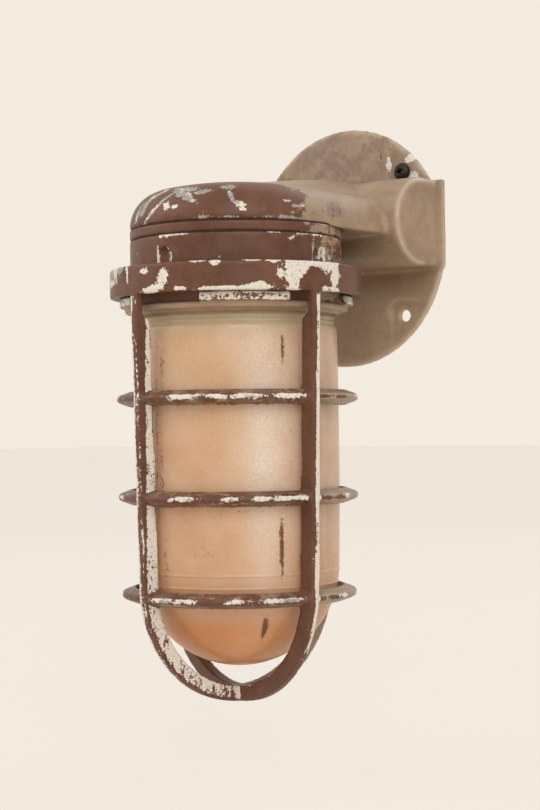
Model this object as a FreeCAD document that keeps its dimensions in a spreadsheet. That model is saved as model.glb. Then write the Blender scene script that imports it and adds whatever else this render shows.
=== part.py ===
import FreeCAD, Part

import os
import re

import Sketcher

# Cage wall light: a cast bracket that carries a hood, a socket ring, a screwed globe holder,
# a screwed glass globe and a bayonet guard.  Millimetres and degrees.
# Origin: centre of the round wall plate, on the wall.  +X right along the wall, +Y into the wall, +Z up.

SIZES = {
    # wall plate
    "plate_radius": 65.7,
    "plate_rim": 3.0,
    "plate_rise": 3.2,
    "plate_hub_radius": 34.0,
    "seat_edge_x": 32.5,
    "seat_edge_z": 32.0,
    "seat_corner": 3.5,
    "seat_slope": 38.0,
    "screw_pitch_x": 79.0,
    "screw_pitch_z": 78.0,
    "screw_hole_radius": 3.15,
    "screw_hole_chamfer": 0.7,
    # wiring box across the plate
    "box_shoulder": 8.8,
    "box_radius": 23.5,
    "box_depth": 41.0,
    "box_height": 9.3,
    "box_wall": 3.5,
    "box_end_round": 4.0,
    "strip_margin": 2.1,
    # arm and hood
    "lamp_gap": 0.9,
    "hood_radius": 54.4,
    "hood_edge": 3.5,
    "hood_apex": 26.9,
    "hood_shoulder": 19.0,
    "hood_shoulder_height": 4.2,
    "hood_wall": 3.5,
    "arm_underside": 1.8,
    "arm_fillet": 4.0,
    "ridge_half_width": 36.0,
    "ridge_foot": 20.0,
    "ridge_middle": 60.0,
    "ridge_middle_rise": 5.3,
    "ridge_rise": 10.4,
    "ridge_spread": 8.0,
    "arm_floor": 7.0,
    "bulkhead": 5.0,
    # socket ring
    "gasket": 0.5,
    "gasket_inset": 0.6,
    "ring_flange": 5.1,
    "ring_wall": 4.0,
    "ring_upper_step": 3.0,
    "ring_upper_length": 9.0,
    "ring_lower_step": 4.4,
    "ring_lower_length": 9.8,
    "thread_clearance": 0.25,
    "boss_top": 8.0,
    "boss_depth": 8.0,
    "boss_width": 14.0,
    "boss_height": 10.0,
    # lampholder
    "strap_thickness": 2.0,
    "strap_gap": 1.0,
    "strap_screw_inset": 4.0,
    "holder_screw_x": 17.6,
    "porcelain_radius": 21.0,
    "porcelain_height": 35.0,
    "porcelain_roof": 6.0,
    "shell_radius": 13.35,
    "shell_thickness": 0.5,
    "shell_length": 27.5,
    "shell_neck": 3.0,
    "contact_radius": 4.2,
    "terminal_flat": 18.0,
    "terminal_height": -2.0,
    "terminal_length": 12.0,
    "terminal_width": 7.0,
    "terminal_thickness": 0.8,
    # leads
    "lead_radius": 1.3,
    "lead_spacing": 16.0,
    "lead_height": 15.0,
    "lead_bend": 7.0,
    "lead_box_y": 24.0,
    "lead_tail": 10.0,
    "bushing_radius": 3.0,
    "bushing_flange_radius": 4.6,
    "bushing_flange": 1.2,
    "ground_x": 35.0,
    "ground_boss_radius": 4.5,
    "ground_boss_height": 4.5,
    "ground_tail": 14.0,
    # screws
    "screw_clearance": 0.15,
    "small_screw_radius": 1.55,
    "small_head_radius": 3.1,
    "small_head": 2.0,
    "large_screw_radius": 2.0,
    "large_head_radius": 4.0,
    "large_head": 2.6,
    "screw_slot": 0.9,
    # globe holder
    "holder_web_depth": 5.0,
    "holder_web": 2.5,
    "holder_bottom": 41.2,
    "holder_step": 1.6,
    "lip_reach": 3.0,
    "lip_top": 36.7,
    "lip_height": 3.1,
    "lip_chamfer": 0.8,
    "lug_reach": 5.6,
    "lug_height": 4.6,
    "lug_angle": 44.0,
    "lug_count": 4,
    "flute_depth": 2.5,
    "flute_radius": 5.4,
    "flute_top": 7.5,
    "flute_length": 16.0,
    # glass globe
    "globe_gasket": 1.0,
    "glass_wall": 4.0,
    "glass_shoulder": 46.8,
    "glass_shoulder_drop": 3.0,
    "glass_shoulder_step": 1.6,
    "glass_barrel": 2000.0,
    "glass_dome_step": 1.4,
    "glass_dome_height": 168.8,
    # guard
    "guard_turn": -11.6,
    "guard_ring_wall": 4.3,
    "guard_ring_gap": 0.6,
    "guard_ring_top": 17.4,
    "guard_ring_height": 14.6,
    "guard_ring_round": 1.0,
    "guard_lug_gap": 0.6,
    "guard_lug_height": 4.2,
    "guard_lug_angle": 40.0,
    "guard_seat_gap": 0.3,
    "rib_depth": 8.0,
    "rib_inner_width": 7.0,
    "rib_outer_width": 4.6,
    "rib_lean": 1.4,
    "rib_bow_reach": 6.8,
    "rib_bow_height": 177.4,
    "rib_notch_bottom": 42.0,
    "rib_notch_run_out": 48.0,
    "hoop_depth": 7.2,
    "hoop_height": 8.2,
    "hoop_nose_height": 3.8,
    "hoop_nose_radius": 2.1,
    "hoop_1_height": 83.4,
    "hoop_1_reach": 7.7,
    "hoop_2_height": 133.3,
    "hoop_2_reach": 7.2,
    "hoop_3_height": 182.9,
    "hoop_3_reach": 5.9,
    "set_screw_radius": 2.5,
    "set_screw_sink": 1.4,
    "set_screw_angle": 225.0,
    "set_screw_drop": 5.2,
}

# What is round the lamp keeps to the hood's radius, each by its own step, wall or clearance.
LINKED = {
    "box_half_length": "hood_radius + box_shoulder",
    "strip_half_length": "box_half_length + strip_margin",
    "lamp_offset": "box_depth + lamp_gap + hood_radius",
    "ring_lower_radius": "hood_radius - ring_lower_step",
    "ring_upper_radius": "ring_lower_radius - ring_upper_step",
    "ring_bore": "ring_upper_radius - ring_wall",
    "strap_half_length": "ring_bore - strap_gap",
    "boss_reach": "ring_bore - boss_depth",
    "strap_screw_x": "boss_reach + strap_screw_inset",
    "holder_web_radius": "ring_lower_radius - holder_web_depth",
    "holder_step_radius": "hood_radius - holder_step",
    "lip_radius": "hood_radius + lip_reach",
    "lug_radius": "hood_radius + lug_reach",
    "glass_neck_radius": "ring_lower_radius",
    "glass_shoulder_radius": "glass_neck_radius + glass_shoulder_step",
    "glass_dome_radius": "glass_neck_radius + glass_dome_step",
    "guard_ring_bore": "lug_radius + guard_ring_gap",
    "guard_ring_radius": "guard_ring_bore + guard_ring_wall",
    "guard_lug_bore": "hood_radius + guard_lug_gap",
    "rib_bow_radius": "hood_radius + rib_bow_reach",
    "hoop_1_radius": "hood_radius + hoop_1_reach",
    "hoop_2_radius": "hood_radius + hoop_2_reach",
    "hoop_3_radius": "hood_radius + hoop_3_reach",
    "set_screw_tip": "hood_radius + guard_seat_gap",
    "set_screw_end": "guard_ring_radius - set_screw_sink",
}

doc = FreeCAD.newDocument("cage_wall_light")


# ---------------------------------------------------------------- document helpers

def make_sheet():
    """The table of dimensions: a name and a plain number or a formula in each row."""
    sheet = doc.addObject("Spreadsheet::Sheet", "Sizes")
    formulas = {name: f"={text}" for name, text in LINKED.items()}
    for row, (name, content) in enumerate({**SIZES, **formulas}.items(), start=1):
        sheet.set(f"A{row}", name)
        sheet.set(f"B{row}", str(content))
        sheet.setAlias(f"B{row}", name)
    doc.recompute()
    return sheet


SHEET = make_sheet()


def named(text):
    """The expression with each dimension written as a cell of the table."""
    cells = {**SIZES, **LINKED}
    return re.sub(r"[a-z][a-z_0-9]*", lambda m: f"Sizes.{m[0]}" if m[0] in cells else m[0], text)


def value(text):
    """The number that an expression of driving dimensions gives."""
    return float(SHEET.evalExpression(named(text)))


def bind(item, path, text):
    """Drive one property of an object by an expression."""
    item.setExpression(path, named(text))


def new_body(label, lamp_side=False):
    """A body of its own name; a lamp-side body has its Z axis on the lamp's axis."""
    body = doc.addObject("PartDesign::Body", label)
    body.Label = label
    if lamp_side:
        bind(body, "Placement.Base.y", "-lamp_offset")
    return body


def origin_part(body, role):
    """One of the body's own origin planes or axes."""
    return next(item for item in body.Origin.OriginFeatures if item.Role == role)


def new_sketch(body, role, name, offset="0"):
    """A sketch on an origin plane of the body, moved along that plane's normal."""
    sketch = body.newObject("Sketcher::SketchObject", name)
    sketch.AttachmentSupport = [(origin_part(body, role), "")]
    sketch.MapMode = "FlatFace"
    bind(sketch, "AttachmentOffset.Base.z", offset)
    return sketch


def pin(sketch, edge, point, x, y):
    """Hold a sketch point at (x, y); a plain "0" puts it on the sketch's axis."""
    for kind, axis, text in (("DistanceX", -2, x), ("DistanceY", -1, y)):
        if text == "0":
            sketch.addConstraint(Sketcher.Constraint("PointOnObject", edge, point, axis))
            continue
        number = sketch.addConstraint(Sketcher.Constraint(kind, -1, 1, edge, point, value(text)))
        bind(sketch, f"Constraints[{number}]", text)


def arc_through(start, end, radius, side):
    """The short arc from start to end; side is 1 with the centre on the left, -1 on the right."""
    chord = end.sub(start)
    left = FreeCAD.Vector(-chord.y, chord.x, 0).normalize()
    height = max(radius ** 2 - (chord.Length / 2) ** 2, 0) ** 0.5
    centre = (start + end) * 0.5 + left * (side * height)
    return Part.Arc(start, centre - left * (side * radius), end)


def trace(sketch, corners, closed=True):
    """Edges through the corners.  A corner is (x, y), or (x, y, radius, side) to bend its next edge."""
    points = [FreeCAD.Vector(value(corner[0]), value(corner[1]), 0) for corner in corners]
    count = len(corners) if closed else len(corners) - 1
    ends = []
    for index in range(count):
        start, end = points[index], points[(index + 1) % len(points)]
        if len(corners[index]) == 2:
            edge = sketch.addGeometry(Part.LineSegment(start, end))
            ends.append((edge, 1, 2))
            continue
        radius, side = corners[index][2:]
        edge = sketch.addGeometry(arc_through(start, end, value(radius), side))
        near, far = (sketch.getPoint(edge, end_of).distanceToPoint(start) for end_of in (1, 2))
        ends.append((edge, 1, 2) if near < far else (edge, 2, 1))
    for index, (edge, start, end) in enumerate(ends):
        pin(sketch, edge, start, *corners[index][:2])
        if closed or index + 1 < count:
            following = ends[(index + 1) % count]
            sketch.addConstraint(Sketcher.Constraint("Coincident", edge, end, following[0], following[1]))
        else:
            pin(sketch, edge, end, *corners[index + 1][:2])
    for (edge, _, _), corner in zip(ends, corners):
        if len(corner) == 4:
            number = sketch.addConstraint(Sketcher.Constraint("Radius", edge, value(corner[2])))
            bind(sketch, f"Constraints[{number}]", corner[2])


def rectangle(sketch, left, low, right, high):
    """A rectangle between two corners."""
    trace(sketch, [(left, low), (right, low), (right, high), (left, high)])


def circle(sketch, x, y, radius):
    """A full circle."""
    shape = Part.Circle(FreeCAD.Vector(value(x), value(y), 0), FreeCAD.Vector(0, 0, 1), value(radius))
    edge = sketch.addGeometry(shape)
    pin(sketch, edge, 3, x, y)
    number = sketch.addConstraint(Sketcher.Constraint("Radius", edge, value(radius)))
    bind(sketch, f"Constraints[{number}]", radius)


def extrude(body, kind, sketch, name, length, back=False, both=False):
    """A Pad or Pocket of a sketch; back turns its direction round, both grows it on both sides."""
    feature = body.newObject(f"PartDesign::{kind}", name)
    feature.Profile = sketch
    feature.Reversed = back
    if both:
        feature.SideType = "Symmetric"
    bind(feature, "Length", length)
    return feature


def turn(body, kind, sketch, name):
    """A Revolution or Groove of a sketch round the sketch's vertical axis."""
    feature = body.newObject(f"PartDesign::{kind}", name)
    feature.Profile = sketch
    feature.ReferenceAxis = (sketch, ["V_Axis"])
    feature.Angle = 360
    return feature


def repeat(body, features, name, count, angle="360"):
    """Copies of features round the body's Z axis."""
    pattern = body.newObject("PartDesign::PolarPattern", name)
    pattern.Originals = features
    pattern.Axis = (origin_part(body, "Z_Axis"), [""])
    bind(pattern, "Angle", angle)
    bind(pattern, "Occurrences", count)
    body.Tip = pattern
    return pattern


def ring(label, inner, outer, low, high):
    """A flat ring round the lamp's axis."""
    body = new_body(label, lamp_side=True)
    section = new_sketch(body, "XZ_Plane", f"{label}_section")
    rectangle(section, inner, low, outer, high)
    turn(body, "Revolution", section, f"{label}_turned")
    return body


def round_edges(body, base, name, radius, wanted):
    """A fillet on the edges of a feature that the test picks."""
    doc.recompute()
    edges = [f"Edge{n}" for n, edge in enumerate(base.Shape.Edges, start=1) if wanted(edge)]
    fillet = body.newObject("PartDesign::Fillet", name)
    fillet.Base = (base, edges)
    bind(fillet, "Radius", radius)
    return fillet


def cylinder(name, radius, length, x, y, z, tilt=0):
    """A round bar from a point; tilt turns its axis from +Z about X, so -90 points along +Y."""
    bar = doc.addObject("Part::Cylinder", name)
    bind(bar, "Radius", radius)
    bind(bar, "Height", length)
    bar.Placement.Rotation = FreeCAD.Rotation(FreeCAD.Vector(1, 0, 0), tilt)
    for axis, text in zip("xyz", (x, y, z)):
        bind(bar, f"Placement.Base.{axis}", text)
    return bar


def joined(kind, name, items):
    """A boolean or a compound of several objects."""
    result = doc.addObject(f"Part::{kind}", name)
    if kind == "Cut":
        result.Base, result.Tool = items
    elif kind == "Compound":
        result.Links = items
    else:
        result.Shapes = items
    return result


def slotted_screw(name, size, length, x, y, z, tilt):
    """A screw whose head stands on (x, y, z) with its shank running back from there."""
    head_radius, head, radius = f"{size}_head_radius", f"{size}_head", f"{size}_screw_radius"
    cap = cylinder(f"{name}_head", head_radius, head, x, y, z, tilt)
    shank = cylinder(f"{name}_shank", radius, length, x, y, z, tilt + 180)
    slot = doc.addObject("Part::Box", f"{name}_slot")
    bind(slot, "Length", f"2 * {head_radius}")
    bind(slot, "Width", "screw_slot")
    bind(slot, "Height", "screw_slot")
    slot.Placement.Rotation = FreeCAD.Rotation(FreeCAD.Vector(1, 0, 0), tilt)
    upright = tilt == 0
    slot_y = f"{y} - screw_slot / 2" if upright else f"{y} + {head} - screw_slot"
    slot_z = f"{z} + {head} - screw_slot" if upright else f"{z} + screw_slot / 2"
    for axis, text in zip("xyz", (f"{x} - {head_radius}", slot_y, slot_z)):
        bind(slot, f"Placement.Base.{axis}", text)
    return joined("Cut", name, [joined("MultiFuse", f"{name}_blank", [cap, shank]), slot])


# ---------------------------------------------------------------- shared places

HOLDER_TOP = "(hood_edge - 2 * gasket - ring_flange)"
FLANGE_TOP = "(hood_edge - gasket)"
FLANGE_BOTTOM = f"({HOLDER_TOP} + gasket)"
SHOULDER_X = "(hood_radius - hood_shoulder)"
SHOULDER_RISE = "(hood_apex - hood_shoulder_height)"
CROWN = f"(({SHOULDER_X}^2 + {SHOULDER_RISE}^2 - hood_shoulder^2) / (2 * ({SHOULDER_RISE} - hood_shoulder)))"
BULKHEAD_INNER = "(box_depth - box_wall)"
BUSHING_SEAT = f"({BULKHEAD_INNER} + bushing_flange / 2)"
ARM_END = f"({BULKHEAD_INNER} + bulkhead)"
STRAP_TOP = "(boss_top + strap_thickness)"
PORCELAIN_CEILING = "(boss_top - porcelain_roof)"
TERMINAL_X = ("-lead_spacing / 2", "lead_spacing / 2")
TERMINAL_FACE = "(terminal_flat + terminal_thickness)"
CLAMP_HEAD = f"({TERMINAL_FACE} + 2 * lead_radius)"
GLASS_TOP = f"({HOLDER_TOP} - ring_lower_length - gasket - holder_web - globe_gasket)"
HOLDER_BORE = "(ring_lower_radius + thread_clearance)"
GLASS_BORE = "(glass_neck_radius + thread_clearance)"


def dome_points(wall):
    """Where the hood's shoulder arc meets its crown arc, with both moved in by the wall."""
    crown, shoulder = f"({CROWN} - {wall})", f"(hood_shoulder - {wall})"
    x = f"({SHOULDER_X} * {crown} / ({CROWN} - hood_shoulder))"
    z = f"(hood_apex - {CROWN} + sqrt({crown}^2 - {x}^2))"
    return crown, shoulder, x, z


def dome_section(sketch, half_width, floor, wall):
    """The whole cross-section of the hood or the arm, from its floor up over the crown."""
    crown, shoulder, x, z = dome_points(wall)
    trace(sketch, [
        (f"-{half_width}", floor), (half_width, floor),
        (half_width, "hood_shoulder_height", shoulder, 1), (x, z, crown, 1),
        ("0", f"hood_apex - {wall}", crown, 1), (f"-{x}", z, shoulder, 1),
        (f"-{half_width}", "hood_shoulder_height"),
    ])


def box_section(sketch, wall, back):
    """The D-shaped section of the wiring box, round to the front."""
    flat, radius = "-(box_depth - box_radius)", f"(box_radius - {wall})"
    trace(sketch, [
        (back, f"box_height - {radius}"), (back, f"box_height + {radius}"),
        (flat, f"box_height + {radius}", radius, 1), (f"{flat} - {radius}", "box_height", radius, 1),
        (flat, f"box_height - {radius}"),
    ])


# ---------------------------------------------------------------- bracket casting

def plate_features(body):
    """The coned round plate with its four flat screw seats, open to the rim."""
    disc = new_sketch(body, "XY_Plane", "disc_profile")
    front = "-(plate_rim + plate_rise)"
    trace(disc, [("0", "0"), ("plate_radius", "0"), ("plate_radius", "-plate_rim"),
                 ("plate_hub_radius", front), ("0", front)])
    turn(body, "Revolution", disc, "disc")
    seats = new_sketch(body, "XZ_Plane", "seat_outlines", "plate_rim")
    for right in (1, -1):
        for top in (1, -1):
            x, z = f"{right} * seat_edge_x", f"{top} * seat_edge_z"
            far_x, far_z = f"{right} * (plate_radius + seat_corner)", f"{top} * (plate_radius + seat_corner)"
            trace(seats, [(f"{x} + {right} * seat_corner", z), (far_x, z), (far_x, far_z), (x, far_z),
                          (x, f"{z} + {top} * seat_corner", "seat_corner", right * top)])
    pocket = extrude(body, "Pocket", seats, "screw_seats", "plate_rise + plate_rim", back=True)
    bind(pocket, "TaperAngle", "seat_slope")


def box_features(body):
    """The wiring box and the strip that it stands on."""
    base = new_sketch(body, "XZ_Plane", "strip_outline")
    low, high = "box_height - box_radius", "box_height + box_radius"
    rectangle(base, "-strip_half_length", low, "strip_half_length", high)
    extrude(body, "Pad", base, "strip", "plate_rim")
    section = new_sketch(body, "YZ_Plane", "box_outline")
    box_section(section, "0", "0")
    box = extrude(body, "Pad", section, "box", "2 * box_half_length", both=True)
    end = value("box_half_length")
    rim = value("plate_rim")

    def end_edge(edge):
        places = [vertex.Point for vertex in edge.Vertexes]
        return all(abs(abs(p.x) - end) < 0.01 for p in places) and edge.CenterOfMass.y < -rim - 1

    round_edges(body, box, "box_ends", "box_end_round", end_edge)


def ridge_section(body, name, offset, half_width, apex):
    """The arched cross-section of the arm's ridge at one distance from the wall."""
    sketch = new_sketch(body, "XZ_Plane", name, offset)
    height = f"({apex} - ridge_foot)"
    radius = f"(({half_width}^2 + {height}^2) / (2 * {height}))"
    left, right = (f"-{half_width}", "ridge_foot"), (half_width, "ridge_foot", radius, 1)
    trace(sketch, [left, right, ("0", apex, radius, 1)])
    return sketch


def arm_ridge(body):
    """The ridge that climbs from the hood's crown along the arm and over the box to the plate."""
    ridge = body.newObject("PartDesign::AdditiveLoft", "arm_ridge")
    ridge.Profile = ridge_section(body, "ridge_at_lamp", "lamp_offset", "ridge_half_width", "hood_apex")
    ridge.Sections = [
        ridge_section(body, "ridge_between", "ridge_middle", "(ridge_half_width + ridge_spread / 2)",
                      "(hood_apex + ridge_middle_rise)"),
        ridge_section(body, "ridge_at_plate", "plate_rim", "(ridge_half_width + ridge_spread)",
                      "(hood_apex + ridge_rise)"),
    ]


def on_box_front(edge):
    """Whether an edge lies along the arm's foot, on the round front of the box."""
    depth, radius = value("box_depth"), value("box_radius")
    width, height = value("hood_radius"), value("box_height")
    places = [edge.valueAt(edge.FirstParameter + part * (edge.LastParameter - edge.FirstParameter))
              for part in (0.1, 0.5, 0.9)]
    return all(abs(((p.y + depth - radius) ** 2 + (p.z - height) ** 2) ** 0.5 - radius) < 0.05
               and p.y < radius - depth - 1 and abs(p.x) < width + 0.05 for p in places)


def hood_features(body):
    """The arm and the domed hood outside, one form carried straight back to the box."""
    section = new_sketch(body, "XZ_Plane", "arm_outline", "lamp_offset")
    dome_section(section, "hood_radius", "arm_underside", "0")
    arm = extrude(body, "Pad", section, "arm", "lamp_offset - (box_depth - box_radius)", back=True)
    round_edges(body, arm, "arm_foot", "arm_fillet", on_box_front)
    half = new_sketch(body, "XZ_Plane", "hood_profile", "lamp_offset")
    crown, shoulder, x, z = dome_points("0")
    trace(half, [("0", "hood_edge"), ("hood_radius", "hood_edge"),
                 ("hood_radius", "hood_shoulder_height", shoulder, 1), (x, z, crown, 1), ("0", "hood_apex")])
    turn(body, "Revolution", half, "hood")
    arm_ridge(body)
    relief = new_sketch(body, "XY_Plane", "flange_relief_outline", "hood_edge")
    circle(relief, "0", "-lamp_offset", "hood_radius + 2 * thread_clearance")
    extrude(body, "Pocket", relief, "flange_relief", "hood_edge - arm_underside + arm_fillet")


def hollow_features(body):
    """The space in the hood, the arm and the box, with the bulkhead between arm and box."""
    crown, shoulder, x, z = dome_points("hood_wall")
    half = new_sketch(body, "XZ_Plane", "hood_space_profile", "lamp_offset")
    bore = "(ring_upper_radius + thread_clearance)"
    bore_top = f"hood_shoulder_height + sqrt({shoulder}^2 - ({bore} - {SHOULDER_X})^2)"
    trace(half, [("0", "0"), (bore, "0"), (bore, bore_top, shoulder, 1), (x, z, crown, 1),
                 ("0", "hood_apex - hood_wall")])
    turn(body, "Groove", half, "hood_space")
    section = new_sketch(body, "XZ_Plane", "arm_space_outline", "lamp_offset")
    corner_x = f"({SHOULDER_X} + sqrt({shoulder}^2 - (arm_floor - hood_shoulder_height)^2))"
    trace(section, [(f"-{corner_x}", "arm_floor"), (corner_x, "arm_floor", shoulder, 1), (x, z, crown, 1),
                    ("0", "hood_apex - hood_wall", crown, 1), (f"-{x}", z, shoulder, 1)])
    extrude(body, "Pocket", section, "arm_space", f"lamp_offset - {ARM_END}")
    inside = new_sketch(body, "YZ_Plane", "box_space_outline")
    box_section(inside, "box_wall", "box_wall")
    extrude(body, "Pocket", inside, "box_space", "2 * (box_half_length - box_wall)", both=True)
    seat = new_sketch(body, "XZ_Plane", "bushing_seat_outline", BUSHING_SEAT)
    margin = "(bushing_flange_radius + bushing_flange)"
    rectangle(seat, f"-lead_spacing / 2 - {margin}", f"lead_height - {margin}",
              f"lead_spacing / 2 + {margin}", f"lead_height + {margin}")
    extrude(body, "Pocket", seat, "bushing_seat", "bulkhead")
    holes = new_sketch(body, "XZ_Plane", "lead_holes_outline", f"{BULKHEAD_INNER} - bulkhead")
    for x in TERMINAL_X:
        circle(holes, x, "lead_height", "bushing_radius + screw_clearance")
    extrude(body, "Pocket", holes, "lead_holes", "3 * bulkhead", back=True)


def boss_features(body):
    """The ground screw's boss in the box and the four wall screw holes."""
    boss = new_sketch(body, "XZ_Plane", "ground_boss_outline", f"{BULKHEAD_INNER} + box_wall / 2")
    circle(boss, "ground_x", "box_height", "ground_boss_radius")
    extrude(body, "Pad", boss, "ground_boss", "ground_boss_height + box_wall / 2", back=True)
    tapped = new_sketch(body, "XZ_Plane", "ground_hole_outline", f"{BULKHEAD_INNER} - ground_boss_height")
    circle(tapped, "ground_x", "box_height", "large_screw_radius + screw_clearance")
    extrude(body, "Pocket", tapped, "ground_hole", "ground_boss_height + box_wall / 2", back=True)
    holes = new_sketch(body, "XZ_Plane", "wall_holes_outline")
    for right in (1, -1):
        for top in (1, -1):
            circle(holes, f"{right} * screw_pitch_x / 2", f"{top} * screw_pitch_z / 2", "screw_hole_radius")
    extrude(body, "Pocket", holes, "wall_holes", "2 * plate_rim + plate_rise", back=True)
    mouths = new_sketch(body, "XZ_Plane", "hole_mouths_outline", "plate_rim")
    for right in (1, -1):
        for top in (1, -1):
            circle(mouths, f"{right} * screw_pitch_x / 2", f"{top} * screw_pitch_z / 2",
                   "screw_hole_radius + screw_hole_chamfer")
    mouth = extrude(body, "Pocket", mouths, "hole_mouths", "screw_hole_chamfer")
    mouth.TaperAngle = -45


def bracket_casting():
    """Plate, box, arm and hood in one casting."""
    body = new_body("bracket_casting")
    plate_features(body)
    box_features(body)
    hood_features(body)
    hollow_features(body)
    boss_features(body)
    return body


# ---------------------------------------------------------------- socket ring and lampholder

def socket_ring():
    """The flanged ring between hood and globe holder, with two bosses for the lampholder strap."""
    body = new_body("socket_ring", lamp_side=True)
    section = new_sketch(body, "XZ_Plane", "socket_ring_section")
    top, bottom = f"{FLANGE_TOP} + ring_upper_length", f"{FLANGE_BOTTOM} - ring_lower_length"
    trace(section, [
        ("ring_bore", bottom), ("ring_lower_radius", bottom), ("ring_lower_radius", FLANGE_BOTTOM),
        ("hood_radius", FLANGE_BOTTOM), ("hood_radius", FLANGE_TOP), ("ring_upper_radius", FLANGE_TOP),
        ("ring_upper_radius", top), ("ring_bore", top),
    ])
    turn(body, "Revolution", section, "socket_ring_turned")
    bosses = new_sketch(body, "XY_Plane", "boss_outlines", "boss_top")
    outer = "(ring_bore + (ring_upper_radius - ring_bore) / 2)"
    rectangle(bosses, "boss_reach", "-boss_width / 2", outer, "boss_width / 2")
    rectangle(bosses, f"-{outer}", "-boss_width / 2", "-boss_reach", "boss_width / 2")
    extrude(body, "Pad", bosses, "bosses", "boss_height", back=True)
    holes = new_sketch(body, "XY_Plane", "boss_holes_outline", "boss_top")
    for x in ("-strap_screw_x", "strap_screw_x"):
        circle(holes, x, "0", "large_screw_radius + screw_clearance")
    extrude(body, "Pocket", holes, "boss_holes", "boss_height - boss_height / 8")
    return body


def lampholder_strap():
    """The flat steel strap that carries the lampholder."""
    body = new_body("lampholder_strap", lamp_side=True)
    outline = new_sketch(body, "XY_Plane", "strap_outline", "boss_top")
    half = "(boss_width / 2)"
    rectangle(outline, "-strap_half_length", f"-{half}", "strap_half_length", half)
    for x in ("strap_screw_x", "-strap_screw_x"):
        circle(outline, x, "0", "large_screw_radius + screw_clearance")
    for x in ("holder_screw_x", "-holder_screw_x"):
        circle(outline, x, "0", "small_screw_radius + screw_clearance")
    extrude(body, "Pad", outline, "strap", "strap_thickness")
    return body


def lampholder_body():
    """The porcelain lampholder: a deep cup with a flat for the terminals."""
    body = new_body("lampholder_body", lamp_side=True)
    section = new_sketch(body, "XZ_Plane", "porcelain_section")
    bottom = "(boss_top - porcelain_height)"
    well = "(shell_radius + shell_thickness + thread_clearance)"
    trace(section, [("0", PORCELAIN_CEILING), (well, PORCELAIN_CEILING), (well, bottom),
                    ("porcelain_radius", bottom), ("porcelain_radius", "boss_top"), ("0", "boss_top")])
    turn(body, "Revolution", section, "porcelain")
    flat = new_sketch(body, "XY_Plane", "terminal_flat_outline", "boss_top")
    back = "porcelain_radius + terminal_thickness"
    rectangle(flat, "-porcelain_radius", "terminal_flat", "porcelain_radius", back)
    extrude(body, "Pocket", flat, "terminal_step", "boss_top - terminal_height + terminal_length")
    screws = new_sketch(body, "XY_Plane", "mounting_holes_outline", "boss_top")
    for x in ("holder_screw_x", "-holder_screw_x"):
        circle(screws, x, "0", "small_screw_radius + screw_clearance")
    extrude(body, "Pocket", screws, "mounting_holes", "1.5 * porcelain_roof")
    taps = new_sketch(body, "XZ_Plane", "terminal_holes_outline", "-terminal_flat")
    for x in TERMINAL_X:
        circle(taps, x, "terminal_height", "small_screw_radius + screw_clearance")
    extrude(body, "Pocket", taps, "terminal_holes", "porcelain_roof - terminal_thickness", back=True)
    return body


def screw_shell():
    """The brass shell that the lamp screws into."""
    body = new_body("screw_shell", lamp_side=True)
    section = new_sketch(body, "XZ_Plane", "shell_section")
    outer, low = "(shell_radius + shell_thickness)", f"{PORCELAIN_CEILING} - shell_length"
    under = f"{PORCELAIN_CEILING} - shell_thickness"
    eye = "(contact_radius + shell_thickness * 3)"
    trace(section, [
        (eye, under), ("shell_radius - shell_neck", under), ("shell_radius", f"{under} - shell_neck"),
        ("shell_radius", low), (outer, low), (outer, f"{PORCELAIN_CEILING} - shell_neck"),
        (f"{outer} - shell_neck", PORCELAIN_CEILING), (eye, PORCELAIN_CEILING),
    ])
    turn(body, "Revolution", section, "shell")
    return body


def centre_contact():
    """The domed contact in the middle of the lampholder."""
    body = new_body("centre_contact", lamp_side=True)
    section = new_sketch(body, "XZ_Plane", "contact_section")
    trace(section, [("0", f"{PORCELAIN_CEILING} - contact_radius / 2"),
                    ("contact_radius / 2", f"{PORCELAIN_CEILING} - contact_radius / 2"),
                    ("contact_radius", f"{PORCELAIN_CEILING} - terminal_thickness"),
                    ("contact_radius", PORCELAIN_CEILING), ("0", PORCELAIN_CEILING)])
    turn(body, "Revolution", section, "contact")
    return body


def terminal_plate(label, x):
    """A small brass plate on the lampholder's flat."""
    body = new_body(label, lamp_side=True)
    outline = new_sketch(body, "XZ_Plane", f"{label}_outline", "-terminal_flat")
    rectangle(outline, f"{x} - terminal_width / 2", "terminal_height - terminal_length / 2",
              f"{x} + terminal_width / 2", "terminal_height + terminal_length / 2")
    circle(outline, x, "terminal_height", "small_screw_radius + screw_clearance")
    extrude(body, "Pad", outline, f"{label}_plate", "terminal_thickness", back=True)
    return body


def screws():
    """Every screw inside the light, seated on what it holds."""
    made = []
    shank = f"(2 * lead_radius + {TERMINAL_FACE} - terminal_flat + porcelain_roof - 2 * terminal_thickness)"
    for label, x in zip(("hot_terminal_screw", "neutral_terminal_screw"), TERMINAL_X):
        seat = f"{CLAMP_HEAD} - lamp_offset"
        made.append(slotted_screw(label, "small", shank, x, seat, "terminal_height", -90))
    for label, size, x, length in (
        ("lampholder_screws", "small", "holder_screw_x", "strap_thickness + 1.4 * porcelain_roof"),
        ("strap_screws", "large", "strap_screw_x", "strap_thickness + 0.8 * boss_height"),
    ):
        pair = [slotted_screw(f"{label}_{side}", size, length, f"{sign}{x}", "-lamp_offset", STRAP_TOP, 0)
                for side, sign in (("right", ""), ("left", "-"))]
        made.append(joined("Compound", label, pair))
    seat = f"-({BULKHEAD_INNER} - ground_boss_height - 2 * lead_radius)"
    length = "2 * lead_radius + ground_boss_height + box_wall / 4"
    made.append(slotted_screw("ground_screw", "large", length, "ground_x", seat, "box_height", -90))
    return made


# ---------------------------------------------------------------- leads

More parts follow.
